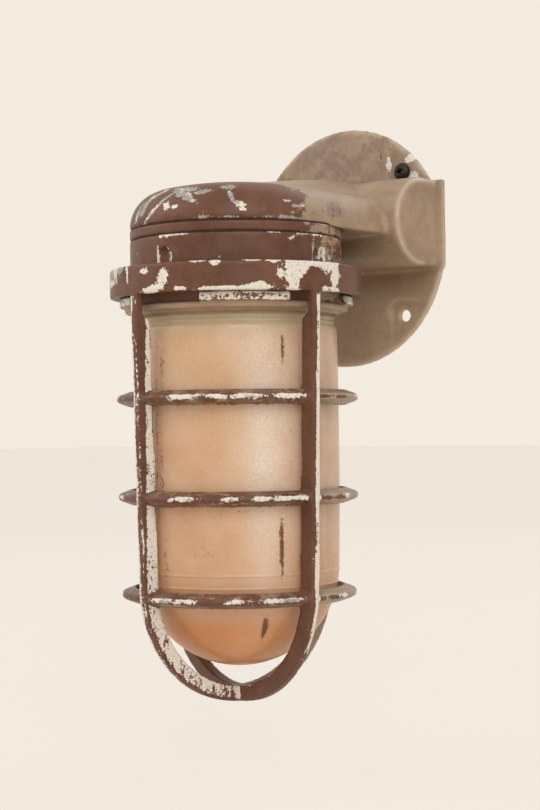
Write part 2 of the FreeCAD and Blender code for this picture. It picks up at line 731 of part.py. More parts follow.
def swept_lead(label, path_role, path_offset, corners, start_role, start_offset, start_x, start_y):
    """A round insulated lead along a route of straight runs and bends."""
    body = new_body(label)
    path = new_sketch(body, path_role, f"{label}_route", path_offset)
    trace(path, corners, closed=False)
    section = new_sketch(body, start_role, f"{label}_section", start_offset)
    circle(section, start_x, start_y, "lead_radius")
    pipe = body.newObject("PartDesign::AdditivePipe", f"{label}_swept")
    pipe.Profile = section
    pipe.Spine = (path, [f"Edge{n}" for n in range(1, len(corners))])
    return body


def lamp_lead(label, x):
    """From a terminal up past the strap, back through the bulkhead and down into the box."""
    start_y = f"({TERMINAL_FACE} + lead_radius - lamp_offset)"
    start_z = "(terminal_height + small_screw_radius + screw_clearance)"
    bend, high = "lead_bend", "lead_height"
    corners = [
        (start_y, start_z), (start_y, f"{high} - {bend}", bend, -1), (f"{start_y} + {bend}", high),
        (f"-lead_box_y - {bend}", high, bend, -1), ("-lead_box_y", f"{high} - {bend}"),
        ("-lead_box_y", f"{high} - {bend} - lead_tail"),
    ]
    return swept_lead(label, "YZ_Plane", x, corners, "XY_Plane", start_z, x, start_y)


def ground_lead():
    """From under the ground screw's head, out of the open back of the box."""
    start_x = "(ground_x - large_screw_radius - screw_clearance)"
    y = f"-({BULKHEAD_INNER} - ground_boss_height - lead_radius)"
    run_x = f"({start_x} - large_head_radius)"
    corners = [(start_x, y), (run_x, y, "lead_bend", -1), (f"{run_x} - lead_bend", f"{y} + lead_bend"),
               (f"{run_x} - lead_bend", f"{y} + lead_bend + ground_tail")]
    return swept_lead("ground_lead", "XY_Plane", "box_height", corners, "YZ_Plane", start_x, y, "box_height")


def lead_bushings():
    """Two flanged bushings that line the lead holes in the bulkhead."""
    pair = []
    for side, x in zip(("left", "right"), TERMINAL_X):
        start = f"-({ARM_END} + bushing_flange)"
        barrel = cylinder(f"bushing_barrel_{side}", "bushing_radius", "bulkhead + 1.5 * bushing_flange",
                          x, start, "lead_height", -90)
        near = cylinder(f"bushing_near_{side}", "bushing_flange_radius", "bushing_flange",
                        x, start, "lead_height", -90)
        far = cylinder(f"bushing_far_{side}", "bushing_flange_radius", "bushing_flange",
                       x, f"-{BUSHING_SEAT}", "lead_height", -90)
        bore = cylinder(f"bushing_bore_{side}", "lead_radius + screw_clearance", "3 * bulkhead",
                        x, f"{start} - bulkhead / 2", "lead_height", -90)
        blank = joined("MultiFuse", f"bushing_blank_{side}", [barrel, near, far])
        pair.append(joined("Cut", f"bushing_{side}", [blank, bore]))
    return joined("Compound", "lead_bushings", pair)


# ---------------------------------------------------------------- globe holder and glass

def polar(radius, angle):
    """A point at a radius and an angle from the sketch's x axis."""
    return f"{radius} * cos({angle})", f"{radius} * sin({angle})"


def sector(sketch, inner, outer, middle, spread):
    """A part of a flat ring, spread evenly about its middle angle."""
    low, high = f"({middle} - {spread} / 2)", f"({middle} + {spread} / 2)"
    trace(sketch, [polar(inner, low), (*polar(outer, low), outer, 1), polar(outer, high),
                   (*polar(inner, high), inner, -1)])


def globe_holder():
    """The screwed ring that carries the globe: wrench flutes above, guard lugs and a rolled lip below."""
    body = new_body("globe_holder", lamp_side=True)
    section = new_sketch(body, "XZ_Plane", "globe_holder_section")
    web_top = f"{HOLDER_TOP} - ring_lower_length - gasket"
    lip_low = "(lip_top + lip_height)"
    trace(section, [
        (GLASS_BORE, "-holder_bottom"), ("holder_step_radius", "-holder_bottom"),
        ("holder_step_radius", f"-{lip_low}"), ("lip_radius - lip_chamfer", f"-{lip_low}"),
        ("lip_radius", f"-{lip_low} + lip_chamfer"), ("lip_radius", "-lip_top - lip_chamfer"),
        ("lip_radius - lip_chamfer", "-lip_top"), ("hood_radius", "-lip_top"), ("hood_radius", HOLDER_TOP),
        (HOLDER_BORE, HOLDER_TOP), (HOLDER_BORE, web_top), ("holder_web_radius", web_top),
        ("holder_web_radius", f"{web_top} - holder_web"), (GLASS_BORE, f"{web_top} - holder_web"),
    ])
    turn(body, "Revolution", section, "globe_holder_turned")
    flute = new_sketch(body, "XZ_Plane", "flute_profile", "hood_radius + flute_radius - flute_depth")
    base, top = "-(flute_top + flute_length)", "-flute_top"
    side = "flute_radius"
    trace(flute, [("0", base), (side, base), (side, f"{top} - flute_radius", "flute_radius", 1), ("0", top)])
    cut = turn(body, "Groove", flute, "flute")
    repeat(body, [cut], "flutes", "lug_count")
    lugs = new_sketch(body, "XY_Plane", "lug_outline", "-lip_top")
    sector(lugs, "(hood_radius - thread_clearance)", "lug_radius", "180 / lug_count", "lug_angle")
    lug = extrude(body, "Pad", lugs, "lug", "lug_height")
    repeat(body, [lug], "lugs", "lug_count")
    return body


def glass_globe():
    """The moulded glass: a plain neck, a small shoulder, a barrelled side and a round end."""
    body = new_body("glass_globe", lamp_side=True)
    section = new_sketch(body, "XZ_Plane", "glass_section")
    inner_neck = "(glass_neck_radius - glass_wall)"
    inner_dome = "(glass_dome_radius - glass_wall)"
    shoulder_end = "-(glass_shoulder + glass_shoulder_drop)"
    trace(section, [
        (inner_neck, GLASS_TOP), (inner_neck, f"{shoulder_end} - glass_wall"),
        (inner_dome, f"{shoulder_end} - 2 * glass_wall"),
        (inner_dome, "-glass_dome_height", inner_dome, -1), ("0", f"-glass_dome_height - {inner_dome}"),
        ("0", "-glass_dome_height - glass_dome_radius", "glass_dome_radius", 1),
        ("glass_dome_radius", "-glass_dome_height", "glass_barrel", 1),
        ("glass_shoulder_radius", shoulder_end), ("glass_neck_radius", "-glass_shoulder"),
        ("glass_neck_radius", GLASS_TOP),
    ])
    turn(body, "Revolution", section, "glass")
    return body


# ---------------------------------------------------------------- guard

SET_SCREW_Z = "-(guard_ring_top + set_screw_drop)"
RIB_MIDDLE = "(rib_bow_radius - rib_depth / 2)"
RIB_TOP = "(guard_ring_top + guard_ring_height / 2)"
RIB_TANGENT_X = f"({RIB_MIDDLE} * cos(rib_lean))"
RIB_TANGENT_Z = f"(-rib_bow_height - {RIB_MIDDLE} * sin(rib_lean))"
RIB_TOP_X = f"({RIB_TANGENT_X} + (-{RIB_TOP} - {RIB_TANGENT_Z}) * tan(rib_lean))"


def guard_ring(body):
    """The plain band at the top of the guard."""
    section = new_sketch(body, "XZ_Plane", "guard_ring_section")
    low, soft = "-(guard_ring_top + guard_ring_height)", "guard_ring_round"
    trace(section, [
        ("guard_ring_bore", low), (f"guard_ring_radius - {soft}", low, soft, 1),
        ("guard_ring_radius", f"{low} + {soft}"), ("guard_ring_radius", f"-guard_ring_top - {soft}", soft, 1),
        (f"guard_ring_radius - {soft}", "-guard_ring_top"), ("guard_ring_bore", "-guard_ring_top"),
    ])
    turn(body, "Revolution", section, "guard_ring")


def guard_hoops(body):
    """Three hoops of a wedge section with a round nose to the outside."""
    section = new_sketch(body, "XZ_Plane", "hoop_sections")
    nose, half = "(hoop_nose_height / 2)", "(hoop_height / 2)"
    for number in (1, 2, 3):
        outer, middle = f"hoop_{number}_radius", f"-hoop_{number}_height"
        inner = f"{outer} - hoop_depth"
        bend = f"{outer} - hoop_nose_radius + sqrt(hoop_nose_radius^2 - {nose}^2)"
        trace(section, [
            (inner, f"{middle} - {half}"), (bend, f"{middle} - {nose}", "hoop_nose_radius", 1),
            (bend, f"{middle} + {nose}"), (inner, f"{middle} + {half}"),
        ])
    turn(body, "Revolution", section, "hoops")


def guard_ribs(body):
    """Two bows crossed under the globe: each runs down, round and up again with a wedge section."""
    path = new_sketch(body, "XZ_Plane", "bow_route")
    trace(path, [
        (RIB_TOP_X, f"-{RIB_TOP}"), (RIB_TANGENT_X, RIB_TANGENT_Z, RIB_MIDDLE, -1),
        ("0", f"-rib_bow_height - {RIB_MIDDLE}", RIB_MIDDLE, -1), (f"-{RIB_TANGENT_X}", RIB_TANGENT_Z),
        (f"-{RIB_TOP_X}", f"-{RIB_TOP}"),
    ], closed=False)
    wedge = new_sketch(body, "XY_Plane", "bow_section", f"-{RIB_TOP}")
    inner, outer = f"{RIB_TOP_X} - rib_depth / 2", f"{RIB_TOP_X} + rib_depth / 2"
    trace(wedge, [(inner, "-rib_inner_width / 2"), (outer, "-rib_outer_width / 2"),
                  (outer, "rib_outer_width / 2"), (inner, "rib_inner_width / 2")])
    bow = body.newObject("PartDesign::AdditivePipe", "bow")
    bow.Profile = wedge
    bow.Spine = (path, ["Edge1", "Edge2", "Edge3", "Edge4"])
    repeat(body, [bow], "bows", "2", "90")


def guard_mouth(body):
    """The clear bore at the top of the ribs, and the lugs that hang the guard on the globe holder."""
    section = new_sketch(body, "XZ_Plane", "mouth_section")
    foot = f"{RIB_TOP_X} - rib_depth"
    trace(section, [("0", "-guard_ring_top"), ("0", "-rib_notch_run_out"), (foot, "-rib_notch_run_out"),
                    ("guard_ring_bore", "-rib_notch_bottom"), ("guard_ring_bore", "-guard_ring_top")])
    turn(body, "Groove", section, "mouth")
    lug_base = "-(lip_top - lug_height) + guard_seat_gap"
    lugs = new_sketch(body, "XY_Plane", "guard_lug_outline", lug_base)
    outer = "(guard_ring_bore + (guard_ring_radius - guard_ring_bore) / 2)"
    sector(lugs, "guard_lug_bore", outer, "(180 / lug_count - guard_turn)", "guard_lug_angle")
    lug = extrude(body, "Pad", lugs, "guard_lug", "guard_lug_height")
    repeat(body, [lug], "guard_lugs", "lug_count")


def guard():
    """The guard casting: ring, three hoops and two crossed bows, with bayonet lugs inside the ring."""
    body = new_body("guard", lamp_side=True)
    bind(body, "Placement.Rotation.Angle", "guard_turn")
    guard_ring(body)
    guard_hoops(body)
    guard_ribs(body)
    guard_mouth(body)
    hole = new_sketch(body, "XZ_Plane", "set_screw_hole_outline")
    hole.AttachmentOffset.Rotation.Axis = FreeCAD.Vector(0, 1, 0)
    bind(hole, "AttachmentOffset.Rotation.Angle", "set_screw_angle")
    circle(hole, "0", SET_SCREW_Z, "set_screw_radius + screw_clearance")
    extrude(body, "Pocket", hole, "set_screw_hole", "guard_ring_radius + set_screw_radius", back=True)
    return body


def guard_set_screw():
    """The headless screw that keeps the guard from turning off its lugs."""
    body = new_body("guard_set_screw", lamp_side=True)
    bind(body, "Placement.Rotation.Angle", "guard_turn + set_screw_angle")
    outline = new_sketch(body, "XZ_Plane", "set_screw_outline", "set_screw_tip")
    circle(outline, "0", SET_SCREW_Z, "set_screw_radius")
    extrude(body, "Pad", outline, "set_screw", "set_screw_end - set_screw_tip")
    slot = new_sketch(body, "XZ_Plane", "set_screw_slot_outline", "set_screw_end")
    rectangle(slot, "-2 * set_screw_radius", f"{SET_SCREW_Z} - screw_slot / 2",
              "2 * set_screw_radius", f"{SET_SCREW_Z} + screw_slot / 2")
    extrude(body, "Pocket", slot, "set_screw_slot", "1.5 * screw_slot")
    return body


# ---------------------------------------------------------------- assembly

def build_light():
    """Every sub-part, in the order in which the light goes together."""
    return [
        bracket_casting(),
        lead_bushings(),
        ring("hood_gasket", "ring_upper_radius + thread_clearance", "hood_radius - gasket_inset",
             FLANGE_TOP, "hood_edge"),
        socket_ring(),
        lampholder_strap(),
        lampholder_body(),
        screw_shell(),
        centre_contact(),
        terminal_plate("hot_terminal", TERMINAL_X[0]),
        terminal_plate("neutral_terminal", TERMINAL_X[1]),
        *screws(),
        lamp_lead("hot_lead", TERMINAL_X[0]),
        lamp_lead("neutral_lead", TERMINAL_X[1]),
        ground_lead(),
        ring("holder_gasket", HOLDER_BORE, "hood_radius - gasket_inset", HOLDER_TOP, FLANGE_BOTTOM),
        globe_holder(),
        ring("globe_gasket", "glass_neck_radius - glass_wall", "glass_neck_radius",
             GLASS_TOP, f"{GLASS_TOP} + globe_gasket"),
        glass_globe(),
        guard(),
        guard_set_screw(),
    ]


def check(parts):
    """Stop at a failed feature, a cut that removed nothing, or a sub-part without a sound solid."""
    for item in doc.Objects:
        if {"Invalid", "Error"} & set(item.State):
            raise RuntimeError(f"{item.Label} failed: {item.State}")
        if item.TypeId in ("PartDesign::Pocket", "PartDesign::Groove"):
            if item.Shape.Volume > item.BaseFeature.Shape.Volume - 0.01:
                raise RuntimeError(f"{item.Label} cut nothing")
    for part in parts:
        shape = part.Shape
        if shape.isNull() or not shape.isValid() or not shape.Solids:
            raise RuntimeError(f"{part.Label} has no sound solid")


def write(parts):
    """One STEP file for each sub-part, named after it."""
    os.makedirs("parts", exist_ok=True)
    for part in parts:
        part.Shape.exportStep(os.path.join("parts", f"{part.Label}.step"))


light = build_light()
doc.recompute()
check(light)
write(light)
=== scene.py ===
"""Cage wall light: finishes, glass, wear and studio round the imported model."""
import logging
import math
from dataclasses import dataclass, field
from enum import Enum
from typing import Any, Callable, Sequence

import bmesh
import bpy
import numpy as np
from bmesh.types import BMesh
from bpy.types import Material, Mesh, Node, NodeSocket, NodeTree, Object
from mathutils import Matrix, Vector


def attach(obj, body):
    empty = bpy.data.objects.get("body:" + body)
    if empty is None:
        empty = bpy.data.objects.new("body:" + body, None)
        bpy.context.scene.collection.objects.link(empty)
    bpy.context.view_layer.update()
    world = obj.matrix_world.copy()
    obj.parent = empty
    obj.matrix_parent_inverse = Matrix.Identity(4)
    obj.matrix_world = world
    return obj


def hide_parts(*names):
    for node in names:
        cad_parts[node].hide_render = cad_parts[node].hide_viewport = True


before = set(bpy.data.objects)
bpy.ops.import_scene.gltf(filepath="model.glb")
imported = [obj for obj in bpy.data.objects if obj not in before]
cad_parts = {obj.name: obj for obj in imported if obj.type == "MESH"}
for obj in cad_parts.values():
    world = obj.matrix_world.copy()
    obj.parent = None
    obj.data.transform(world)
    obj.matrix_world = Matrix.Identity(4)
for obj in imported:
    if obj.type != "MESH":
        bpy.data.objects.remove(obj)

LOG = logging.getLogger("cage_wall_light")
MM = 0.001
# Where the lamp's upright axis stands in front of the wall, in metres.
LAMP_AXIS_Y = -0.0963
# Vertices nearer than this are one, in metres.
WELD = 1e-6
# A patch's place and size, as Surface.near or Surface.spots takes them, and a row of patches.
Mark = tuple[float, ...]
Marks = tuple[Mark, ...]
# Attribute name to one number for each point of a mesh.
Masks = dict[str, np.ndarray]


# ---------------------------------------------------------------- shared helpers

def linear(code: str) -> tuple[float, float, float, float]:
    """Turn an sRGB hex colour into the linear colour that a shader takes.

    Args:
        code: Six hex digits, such as "6b4636".

    Returns:
        Red, green, blue and an alpha of 1.
    """
    parts = [int(code[i:i + 2], 16) / 255 for i in (0, 2, 4)]
    red, green, blue = (c / 12.92 if c <= 0.04045 else ((c + 0.055) / 1.055) ** 2.4 for c in parts)
    return red, green, blue, 1.0


def add(tree: NodeTree, kind: str, inputs: dict[Any, Any] | None = None, **settings: Any) -> Node:
    """Add a shader node with its settings and links.

    Args:
        tree: The node tree.
        kind: The node's type name after ShaderNode.
        inputs: Input name or index to a value, a hex colour or the output that it is linked from.
        **settings: Attributes of the node.

    Returns:
        The new node.
    """
    made = tree.nodes.new("ShaderNode" + kind)
    for name, choice in settings.items():
        setattr(made, name, choice)
    for key, source in (inputs or {}).items():
        if isinstance(source, NodeSocket):
            tree.links.new(source, made.inputs[key])
        else:
            made.inputs[key].default_value = linear(source) if isinstance(source, str) else source
    return made


def mix(tree: NodeTree, factor: Any, first: Any, second: Any) -> NodeSocket:
    """Mix two hex colours or outputs, where a factor of 0 gives the first and 1 the second."""
    made = add(tree, "Mix", {0: factor, 6: first, 7: second}, data_type="RGBA")
    return made.outputs[2]


def maths(tree: NodeTree, operation: str, *values: Any, clamp: bool = False) -> NodeSocket:
    """Work out one number from numbers and outputs, held within 0 and 1 where clamp says so."""
    made = add(tree, "Math", dict(enumerate(values)), operation=operation, use_clamp=clamp)
    return made.outputs[0]


def held(tree: NodeTree, source: Any, gain: float, shift: Any) -> NodeSocket:
    """Multiply a number by the gain, add the shift and hold the result within 0 and 1."""
    return maths(tree, "MULTIPLY_ADD", source, gain, shift, clamp=True)


def noise(tree: NodeTree, place: NodeSocket, size: float, detail: float,
          roughness: float = 0.5, distortion: float = 0.0,
          stretch: tuple[float, float, float] | None = None) -> NodeSocket:
    """A cloudy pattern of a real size.

    Args:
        tree: The node tree.
        place: Object coordinates.
        size: Size of the largest clouds in metres.
        detail: How many finer layers.
        roughness: How much the finer layers count.
        distortion: How far the clouds are pushed about.
        stretch: Scale of the pattern along each axis, where it isn't even.

    Returns:
        The pattern's output, about 0.25 to 0.75.
    """
    if stretch:
        place = add(tree, "Mapping", {"Vector": place, "Scale": stretch}).outputs[0]
    made = add(tree, "TexNoise", {"Vector": place, "Scale": 1 / size, "Detail": detail,
                                  "Roughness": roughness, "Distortion": distortion})
    return made.outputs["Fac"]


def stored(tree: NodeTree, *names: str) -> list[NodeSocket]:
    """Read masks that are kept on the mesh, one output for each name."""
    return [add(tree, "Attribute", attribute_name=name).outputs["Fac"] for name in names]


def seen_directly(tree: NodeTree) -> NodeSocket:
    """Tell the camera's own rays, also by a gloss or through glass, from those that only bring light.

    Args:
        tree: The node tree.

    Returns:
        An output that is 1 for a ray from the camera and 0 for the rest.
    """
    path = add(tree, "LightPath")
    seen = maths(tree, "MAXIMUM", path.outputs["Is Camera Ray"], path.outputs["Is Transmission Ray"])
    return maths(tree, "MAXIMUM", seen, path.outputs["Is Glossy Ray"])


def empty_material(name: str) -> Material:
    """Make a material with no nodes yet.

    Args:
        name: The material's name.

    Returns:
        The material.
    """
    material = bpy.data.materials.new(name)
    material.use_nodes = True
    material.node_tree.nodes.clear()
    return material


def spin_outline(points: Sequence[tuple[float, float]], steps: int) -> BMesh:
    """Turn an outline about Z into a body.

    Args:
        points: Radius and height of each corner, in metres.
        steps: How many facets go round.

    Returns:
        The body, closed where the outline starts and ends on the axis.
    """
    shape = bmesh.new()
    corners = [shape.verts.new((radius, 0, height)) for radius, height in points]
    edges = [shape.edges.new(pair) for pair in zip(corners, corners[1:])]
    bmesh.ops.spin(shape, geom=corners + edges, axis=(0, 0, 1), cent=(0, 0, 0), dvec=(0, 0, 0),
                   angle=math.tau, steps=steps, use_merge=True)
    return shape


def applied(piece: Object) -> Mesh:
    """Work out a piece's mesh with its modifiers, and take them off.

    Args:
        piece: The piece.

    Returns:
        The new mesh, not yet on the piece.
    """
    graph = bpy.context.evaluated_depsgraph_get()
    graph.update()
    mesh = bpy.data.meshes.new_from_object(piece.evaluated_get(graph), depsgraph=graph)
    piece.modifiers.clear()
    return mesh


def link_object(name: str, mesh: Mesh) -> Object:
    """Put a mesh in the scene as an object at the origin.

    Args:
        name: The object's name.
        mesh: Its mesh.

    Returns:
        The object.
    """
    made = bpy.data.objects.new(name, mesh)
    bpy.context.scene.collection.objects.link(made)
    return made


def finish_mesh(name: str, shape: BMesh, smooth: bool = True) -> Object:
    """Turn a finished bmesh into an object.

    Args:
        name: The object's name.
        shape: The bmesh, which is freed.
        smooth: Whether its faces are shaded smooth.

    Returns:
        The object.
    """
    bmesh.ops.remove_doubles(shape, verts=shape.verts, dist=WELD)
    bmesh.ops.recalc_face_normals(shape, faces=shape.faces)
    mesh = bpy.data.meshes.new(name)
    shape.to_mesh(mesh)
    shape.free()
    mesh.shade_smooth() if smooth else mesh.shade_flat()
    return link_object(name, mesh)


# ---------------------------------------------------------------- surfaces and masks

class Surface:
    """The points of a mesh in the light's own terms, for masks of paint and wear.

    Lengths are in mm. Turn is the angle about the lamp's axis, 0 in front and 90 on the right.
    """

    # How strongly an edge counts, how often it is spread, and how fast a patch fades.
    edge_gain: float = 4.5
    edge_passes: int = 2
    fade: float = 0.8

    def __init__(self, mesh: Mesh) -> None:
        """Read positions and normals of a mesh.

        Args:
            mesh: A dense mesh in the row frame.
        """
        count = len(mesh.vertices)
        flat = np.empty(count * 3)
        mesh.vertices.foreach_get("co", flat)
        self.points = flat.reshape(-1, 3) / MM
        flat = np.empty(count * 3)
        mesh.vertices.foreach_get("normal", flat)
        self.normals = flat.reshape(-1, 3)
        edges = np.empty(len(mesh.edges) * 2, int)
        mesh.edges.foreach_get("vertices", edges)
        self.edges = edges.reshape(-1, 2)
        self.degree = np.maximum(np.bincount(edges, minlength=count), 1)
        self.x, self.y, self.z = self.points.T
        self.side = self.y - LAMP_AXIS_Y / MM
        self.reach = np.hypot(self.x, self.side)
        self.turn = np.degrees(np.arctan2(self.x, -self.side))

    def gather(self, firsts: np.ndarray, seconds: np.ndarray) -> np.ndarray:
        """Average at each point what its edges bring.

        Args:
            firsts: What each edge brings to its first point.
            seconds: What each edge brings to its second point.

        Returns:
            One number for each point.
        """
        first, second = self.edges.T
        count = len(self.x)
        return (np.bincount(first, firsts, count) + np.bincount(second, seconds, count)) / self.degree

    def convex(self) -> np.ndarray:
        """Find the edges.

        Returns:
            How far each point stands out as an edge, from 0 on a flat or in a hollow to 1.
        """
        first, second = self.edges.T
        along = self.points[second] - self.points[first]
        along /= np.maximum(np.linalg.norm(along, axis=1, keepdims=True), 1e-9)
        down = self.gather(-np.einsum("ij,ij->i", self.normals[first], along),
                           np.einsum("ij,ij->i", self.normals[second], along))
        for _ in range(self.edge_passes):
            down = 0.5 * down + 0.5 * self.gather(down[second], down[first])
        return np.clip(down * self.edge_gain, 0, 1)

    def even(self, value: float) -> np.ndarray:
        """The same number at every point."""
        return np.full(len(self.x), value)

    def near(self, spots: Sequence[Mark]) -> np.ndarray:
        """A soft patch round each spot on the hood, bands, ring or glass.

        Args:
            spots: Turn in degrees, height in mm, half-length and half-height in mm, and, where the
                patch leans, its lean in degrees.

        Returns:
            1 in the middle of a patch and 0 away from all of them.
        """
        found = np.zeros(len(self.x))
        for turn, height, wide, tall, *lean in spots:
            angle = math.radians(lean[0]) if lean else 0.0
            around = np.radians((self.turn - turn + 180) % 360 - 180) * np.maximum(self.reach, 1)
            rise = self.z - height
            along = around * math.cos(angle) + rise * math.sin(angle)
            across = rise * math.cos(angle) - around * math.sin(angle)
            distance = (along / wide) ** 2 + (across / tall) ** 2
            found = np.maximum(found, np.exp(-self.fade * distance))
        return found

    def spots(self, places: Sequence[Mark], up: str = "z") -> np.ndarray:
        """A soft patch round each place on the plate, arm or box.

        Args:
            places: X, the other coordinate, half-width and half-height, all in mm.
            up: The other coordinate, "z" seen from the front and "y" seen from the side or above.

        Returns:
            1 in the middle of a patch and 0 away from all of them.
        """
        other = self.z if up == "z" else self.y
        found = np.zeros(len(self.x))
        for x, rise, wide, tall in places:
            distance = ((self.x - x) / wide) ** 2 + ((other - rise) / tall) ** 2
            found = np.maximum(found, np.exp(-distance ** 1.5))
        return found


def ramp(values: np.ndarray, low: float, high: float) -> np.ndarray:
    """Rise smoothly from 0 where the values are low to 1 where they are high."""
    t = np.clip((values - low) / (high - low), 0, 1)
    return t * t * (3 - 2 * t)


def dress(piece: Object, finish: Material, masks: Callable[[Surface], Masks]) -> None:
    """Give a piece its finish and the masks that the finish reads.

    Args:
        piece: The piece.
        finish: Its material.
        masks: What works out the masks from the piece's points.
    """
    for name, values in masks(Surface(piece.data)).items():
        kept = piece.data.attributes.new(name, "FLOAT", "POINT")
        kept.data.foreach_set("value", values.astype(np.float32))
    piece.data.materials.append(finish)
    LOG.info("%s: %d points", piece.name, len(piece.data.vertices))


def soft_copy(node: str, name: str, grain: float, passes: int) -> Object:
    """Rework a CAD node as one even skin with the soft edges of a sand casting.

    Args:
        node: The CAD node.
        name: The new piece's name.
        grain: Size of the skin's cells in metres.
        passes: How many times the skin is smoothed.

    Returns:
        The new piece, which stands for the node.
    """
    shape = bmesh.new()
    shape.from_mesh(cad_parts[node].data)
    bmesh.ops.remove_doubles(shape, verts=shape.verts, dist=WELD)
    mesh = bpy.data.meshes.new(name)
    shape.to_mesh(mesh)
    shape.free()
    piece = link_object(name, mesh)
    remesh = piece.modifiers.new("skin", "REMESH")
    remesh.mode = "VOXEL"
    remesh.voxel_size = grain
    settle = piece.modifiers.new("settle", "SHRINKWRAP")
    settle.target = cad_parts[node]
    settle.wrap_method = "NEAREST_SURFACEPOINT"
    skin = applied(piece)
    piece.data = skin
    skin.name = name
    shape = bmesh.new()
    shape.from_mesh(skin)
    for _ in range(passes):
        bmesh.ops.smooth_vert(shape, verts=shape.verts, factor=0.5, use_axis_x=True, use_axis_y=True,
                              use_axis_z=True)
    shape.to_mesh(skin)
    shape.free()
    skin.shade_smooth()
    skin.materials.clear()
    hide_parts(node)
    return piece


# ---------------------------------------------------------------- finishes

@dataclass(frozen=True)
class PaintedCasting:
    """Sand-cast aluminium under primer and two coats of old enamel.

    The lower coat is brown and the upper one a thin tan, so the eye sees ragged tan over brown,
    and chips down to pale primer and dull metal where hands and tools have knocked the edges.
    """

    name: str = "chipped_enamel_on_cast_aluminium"
    brown: str = "59331f"
    brown_light: str = "6c4430"
    red_brown: str = "763f27"
    tan: str = "a68a70"
    tan_dark: str = "8e7660"
    # Paler tan for worn edges, and also for painted highlight and painted light.
    rubbed_and_highlight_tan: str = "cfbba2"
    olive: str = "877861"
    primer: str = "e2dacd"
    metal: str = "a3a09a"
    grime: str = "826a5c"
    dirt: str = "382821"
    # Sizes of the patterns: what peels, what drifts, what is dirty, and the sand's grain.
    patch: float = 6.5 * MM
    fleck: float = 1.5 * MM
    shade_size: float = 22 * MM
    blush_size: float = 5 * MM
    stain_size: float = 8 * MM
    scuff_size: float = 3 * MM
    bare_size: float = 9 * MM
    speck_size: float = 0.9 * MM
    dent_size: float = 11 * MM
    cast_grain: float = 0.7 * MM
    # How much the finer layers count, and how far the clouds are pushed about.
    roughness: float = 0.62
    distortion: float = 0.25
    # Where noise and wear together lose the paint, and how sharp a chip's edge is.
    chip_level: float = 1.40
    chip_edge: float = 30.0
    # Roughness of the paint, how far it drifts, and roughness in a chip.
    paint_roughness: float = 0.32
    roughness_drift: float = 0.22
    chip_roughness: float = 0.55
    specular: float = 0.36
    bump_strength: float = 0.55
    bump_depth: float = 0.16 * MM

    def clouds(self, tree: NodeTree, place: NodeSocket, size: float, detail: float,
               stretch: tuple[float, float, float] | None = None) -> NodeSocket:
        """A cloudy pattern of a real size, as ragged as this paint."""
        return noise(tree, place, size, detail, self.roughness, self.distortion, stretch)

    def build(self) -> Material:
        """Make the material.

        Returns:
            A material that reads the attributes chips, rim, coat, upright, pale and grime.
        """
        material = empty_material(self.name)
        tree = material.node_tree
        place = add(tree, "TexCoord").outputs["Object"]
        chips, edge_wear_and_highlight, coat, upright, pale, grime = stored(
            tree, "chips", "edge_wear_and_highlight", "coat", "upright", "pale", "grime")

        # Where the paint is lost: broad patches with a fine ragged edge.
        lying = self.clouds(tree, place, self.patch, 9, (1, 1, 2.0))
        standing = self.clouds(tree, place, self.patch, 9, (2.0, 2.0, 0.35))
        cloud = add(tree, "Mix", {0: upright, 2: lying, 3: standing}, data_type="FLOAT").outputs[0]
        fine = self.clouds(tree, place, self.fleck, 4)
        rough_edge = maths(tree, "MULTIPLY_ADD", fine, 0.85, maths(tree, "MULTIPLY", cloud, 0.95))
        worn = maths(tree, "ADD", maths(tree, "MULTIPLY", edge_wear_and_highlight, 0.22), chips)
        lost = maths(tree, "SUBTRACT", maths(tree, "ADD", rough_edge, worn), self.chip_level)
        chip = held(tree, lost, self.chip_edge, 0.5)

        # The two coats, each drifting in colour, the tan one paler along worn edges, and paler still where
        # highlight and light are painted on it.
        shade = self.clouds(tree, place, self.shade_size, 5)
        blush = self.clouds(tree, place, self.blush_size, 6)
        brown = mix(tree, held(tree, shade, 3.0, -1.0), self.brown, self.brown_light)
        brown = mix(tree, held(tree, blush, 7.0, -4.2), brown, self.red_brown)
        tan = mix(tree, held(tree, shade, 3.4, -1.2), self.tan_dark, self.tan)
        tan = mix(tree, held(tree, blush, 4.0, -2.1), tan, self.olive)
        tan = mix(tree, maths(tree, "MULTIPLY", edge_wear_and_highlight, 0.65, clamp=True), tan, self.rubbed_and_highlight_tan)
        ragged = maths(tree, "MULTIPLY_ADD", maths(tree, "SUBTRACT", cloud, 0.5), 4.4, coat)
        ragged = maths(tree, "MULTIPLY_ADD", maths(tree, "SUBTRACT", fine, 0.5), 1.6, ragged)
        paint = mix(tree, held(tree, ragged, 9.0, 0.5), brown, tan)

        # Dirt on the paint: soft stains, and short upright scuffs.
        stained = held(tree, self.clouds(tree, place, self.stain_size, 8), 6.0, -2.6)
        paint = mix(tree, maths(tree, "MULTIPLY", grime, stained), paint, self.grime)
        scuff = self.clouds(tree, place, self.scuff_size, 6, (1, 1, 0.3))
        marks = held(tree, scuff, 14.0, maths(tree, "MULTIPLY_ADD", grime, 1.6, -9.9))
        paint = mix(tree, maths(tree, "MULTIPLY", marks, 0.6), paint, self.dirt)

        # What a chip lays bare: primer, or metal where the primer is gone too, with dark specks.
        worn_through = maths(tree, "MULTIPLY_ADD", self.clouds(tree, place, self.bare_size, 3), 9.0, -4.0)
        bare = held(tree, pale, -3.0, worn_through)
        under = mix(tree, bare, self.primer, self.metal)
        speck = held(tree, self.clouds(tree, place, self.speck_size, 3), 16.0, -9.6)
        under = mix(tree, maths(tree, "MULTIPLY", speck, 0.75), under, self.dirt)

